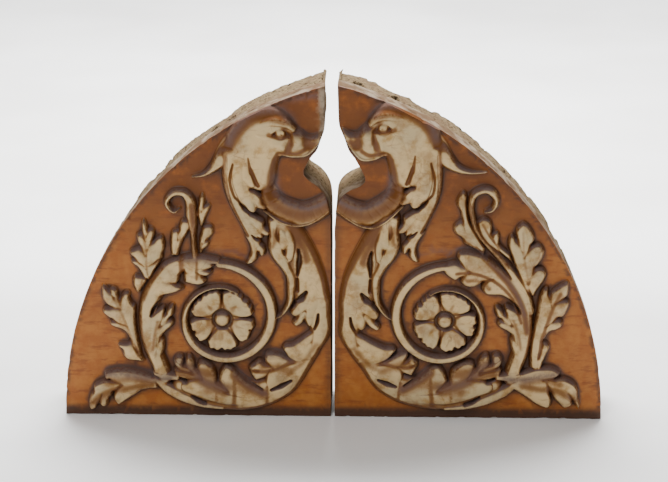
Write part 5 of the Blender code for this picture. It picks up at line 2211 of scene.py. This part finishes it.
@dataclass
class Studio:
    """The plain pale floor, the soft lights and the camera."""

    floor_size: float = 40.0
    floor_colour: tuple = shown(254, 254, 253)
    floor_shade: tuple = shown(241, 240, 238)
    sky_strength: float = 0.22
    key_power: float = 66.0
    fill_power: float = 8.0
    behind_power: float = 560.0

    def floor(self) -> None:
        """Lays the plain floor."""
        ends = (-self.floor_size, self.floor_size)
        spots = np.array([(x, y, 0.0) for y in ends for x in ends])
        item = solid("floor", spots, grid_faces(2, 2), np.zeros((0, 3), dtype=int))
        shade = Shade("pale_floor")
        tone = shade.mix(shade.step(shade.noise(1.5, 2.0), 0.3, 0.7), self.floor_colour, self.floor_shade)
        shade.feed(shade.shader, Base_Color=tone, Roughness=0.85)
        item.data.materials.append(shade.material)

    def light(self, name: str, place: Sequence[float], size: float, power: float,
              target: Sequence[float] = (0.0, 0.0, 0.3)) -> None:
        """Hangs a soft square light.

        Args:
            name: Its name.
            place: Where it hangs.
            size: Its width.
            power: Its power in watts.
            target: What it faces.
        """
        lamp = bpy.data.lights.new(name, "AREA")
        lamp.size = size
        lamp.energy = power
        item = bpy.data.objects.new(name, lamp)
        item.location = place
        aim = np.array(target) - np.array(place)
        flat = math.hypot(aim[0], aim[1])
        item.rotation_euler = (math.atan2(flat, -aim[2]), 0.0, math.atan2(-aim[0], aim[1]))
        bpy.context.scene.collection.objects.link(item)

    def set_up(self) -> None:
        """Lights the scene and places the camera."""
        world = bpy.data.worlds.new("pale")
        world.use_nodes = True
        world.node_tree.nodes["Background"].inputs["Color"].default_value = (1.0, 1.0, 1.0, 1.0)
        world.node_tree.nodes["Background"].inputs["Strength"].default_value = self.sky_strength
        bpy.context.scene.world = world
        self.light("key", (-0.9, -2.6, 2.4), 1.3, self.key_power)
        self.light("fill", (2.2, -2.8, 1.0), 2.0, self.fill_power)
        self.light("rim", (0.4, 1.2, 2.8), 1.6, 0.5 * self.fill_power)
        self.light("behind", (0.0, 1.9, 3.0), 2.6, self.behind_power, (0.0, 3.0, 0.0))
        self.camera()

    def camera(self) -> None:
        """Places the camera at the drawing's own view."""
        back, right, up = VIEW.axes()
        joint = VIEW.unproject([np.mean(list(BASE_JOINT.values()), axis=0)], 0.0)[0]
        target = np.array([-joint[0], SIZE.front, -joint[1]])
        lens = bpy.data.cameras.new("view")
        lens.sensor_width = 36.0
        lens.lens = 36.0 * VIEW.focus / VIEW.width
        item = bpy.data.objects.new("view", lens)
        item.location = target + VIEW.distance * back
        down = math.atan2(back[2], math.hypot(back[0], back[1]))
        item.rotation_euler = (math.pi / 2 - down, 0.0, math.atan2(right[1], right[0]))
        bpy.context.scene.collection.objects.link(item)
        bpy.context.scene.camera = item


def main() -> None:
    """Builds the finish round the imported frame."""
    logging.basicConfig(level=logging.INFO, format="%(name)s: %(message)s")
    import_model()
    grain = ClayGrain(GlazedTerracotta().material("glazed_terracotta"))
    for side, seed in ((Side.LEFT, 11), (Side.RIGHT, 23)):
        half = HalfBlock(side, Carving(side), BlockShell(side), seed)
        block = half.build(grain)
        half.settle(block)
        LOG.info("%s: %d faces", block.name, len(block.data.polygons))
    studio = Studio()
    studio.floor()
    studio.set_up()


if __name__ == "__main__":
    main()
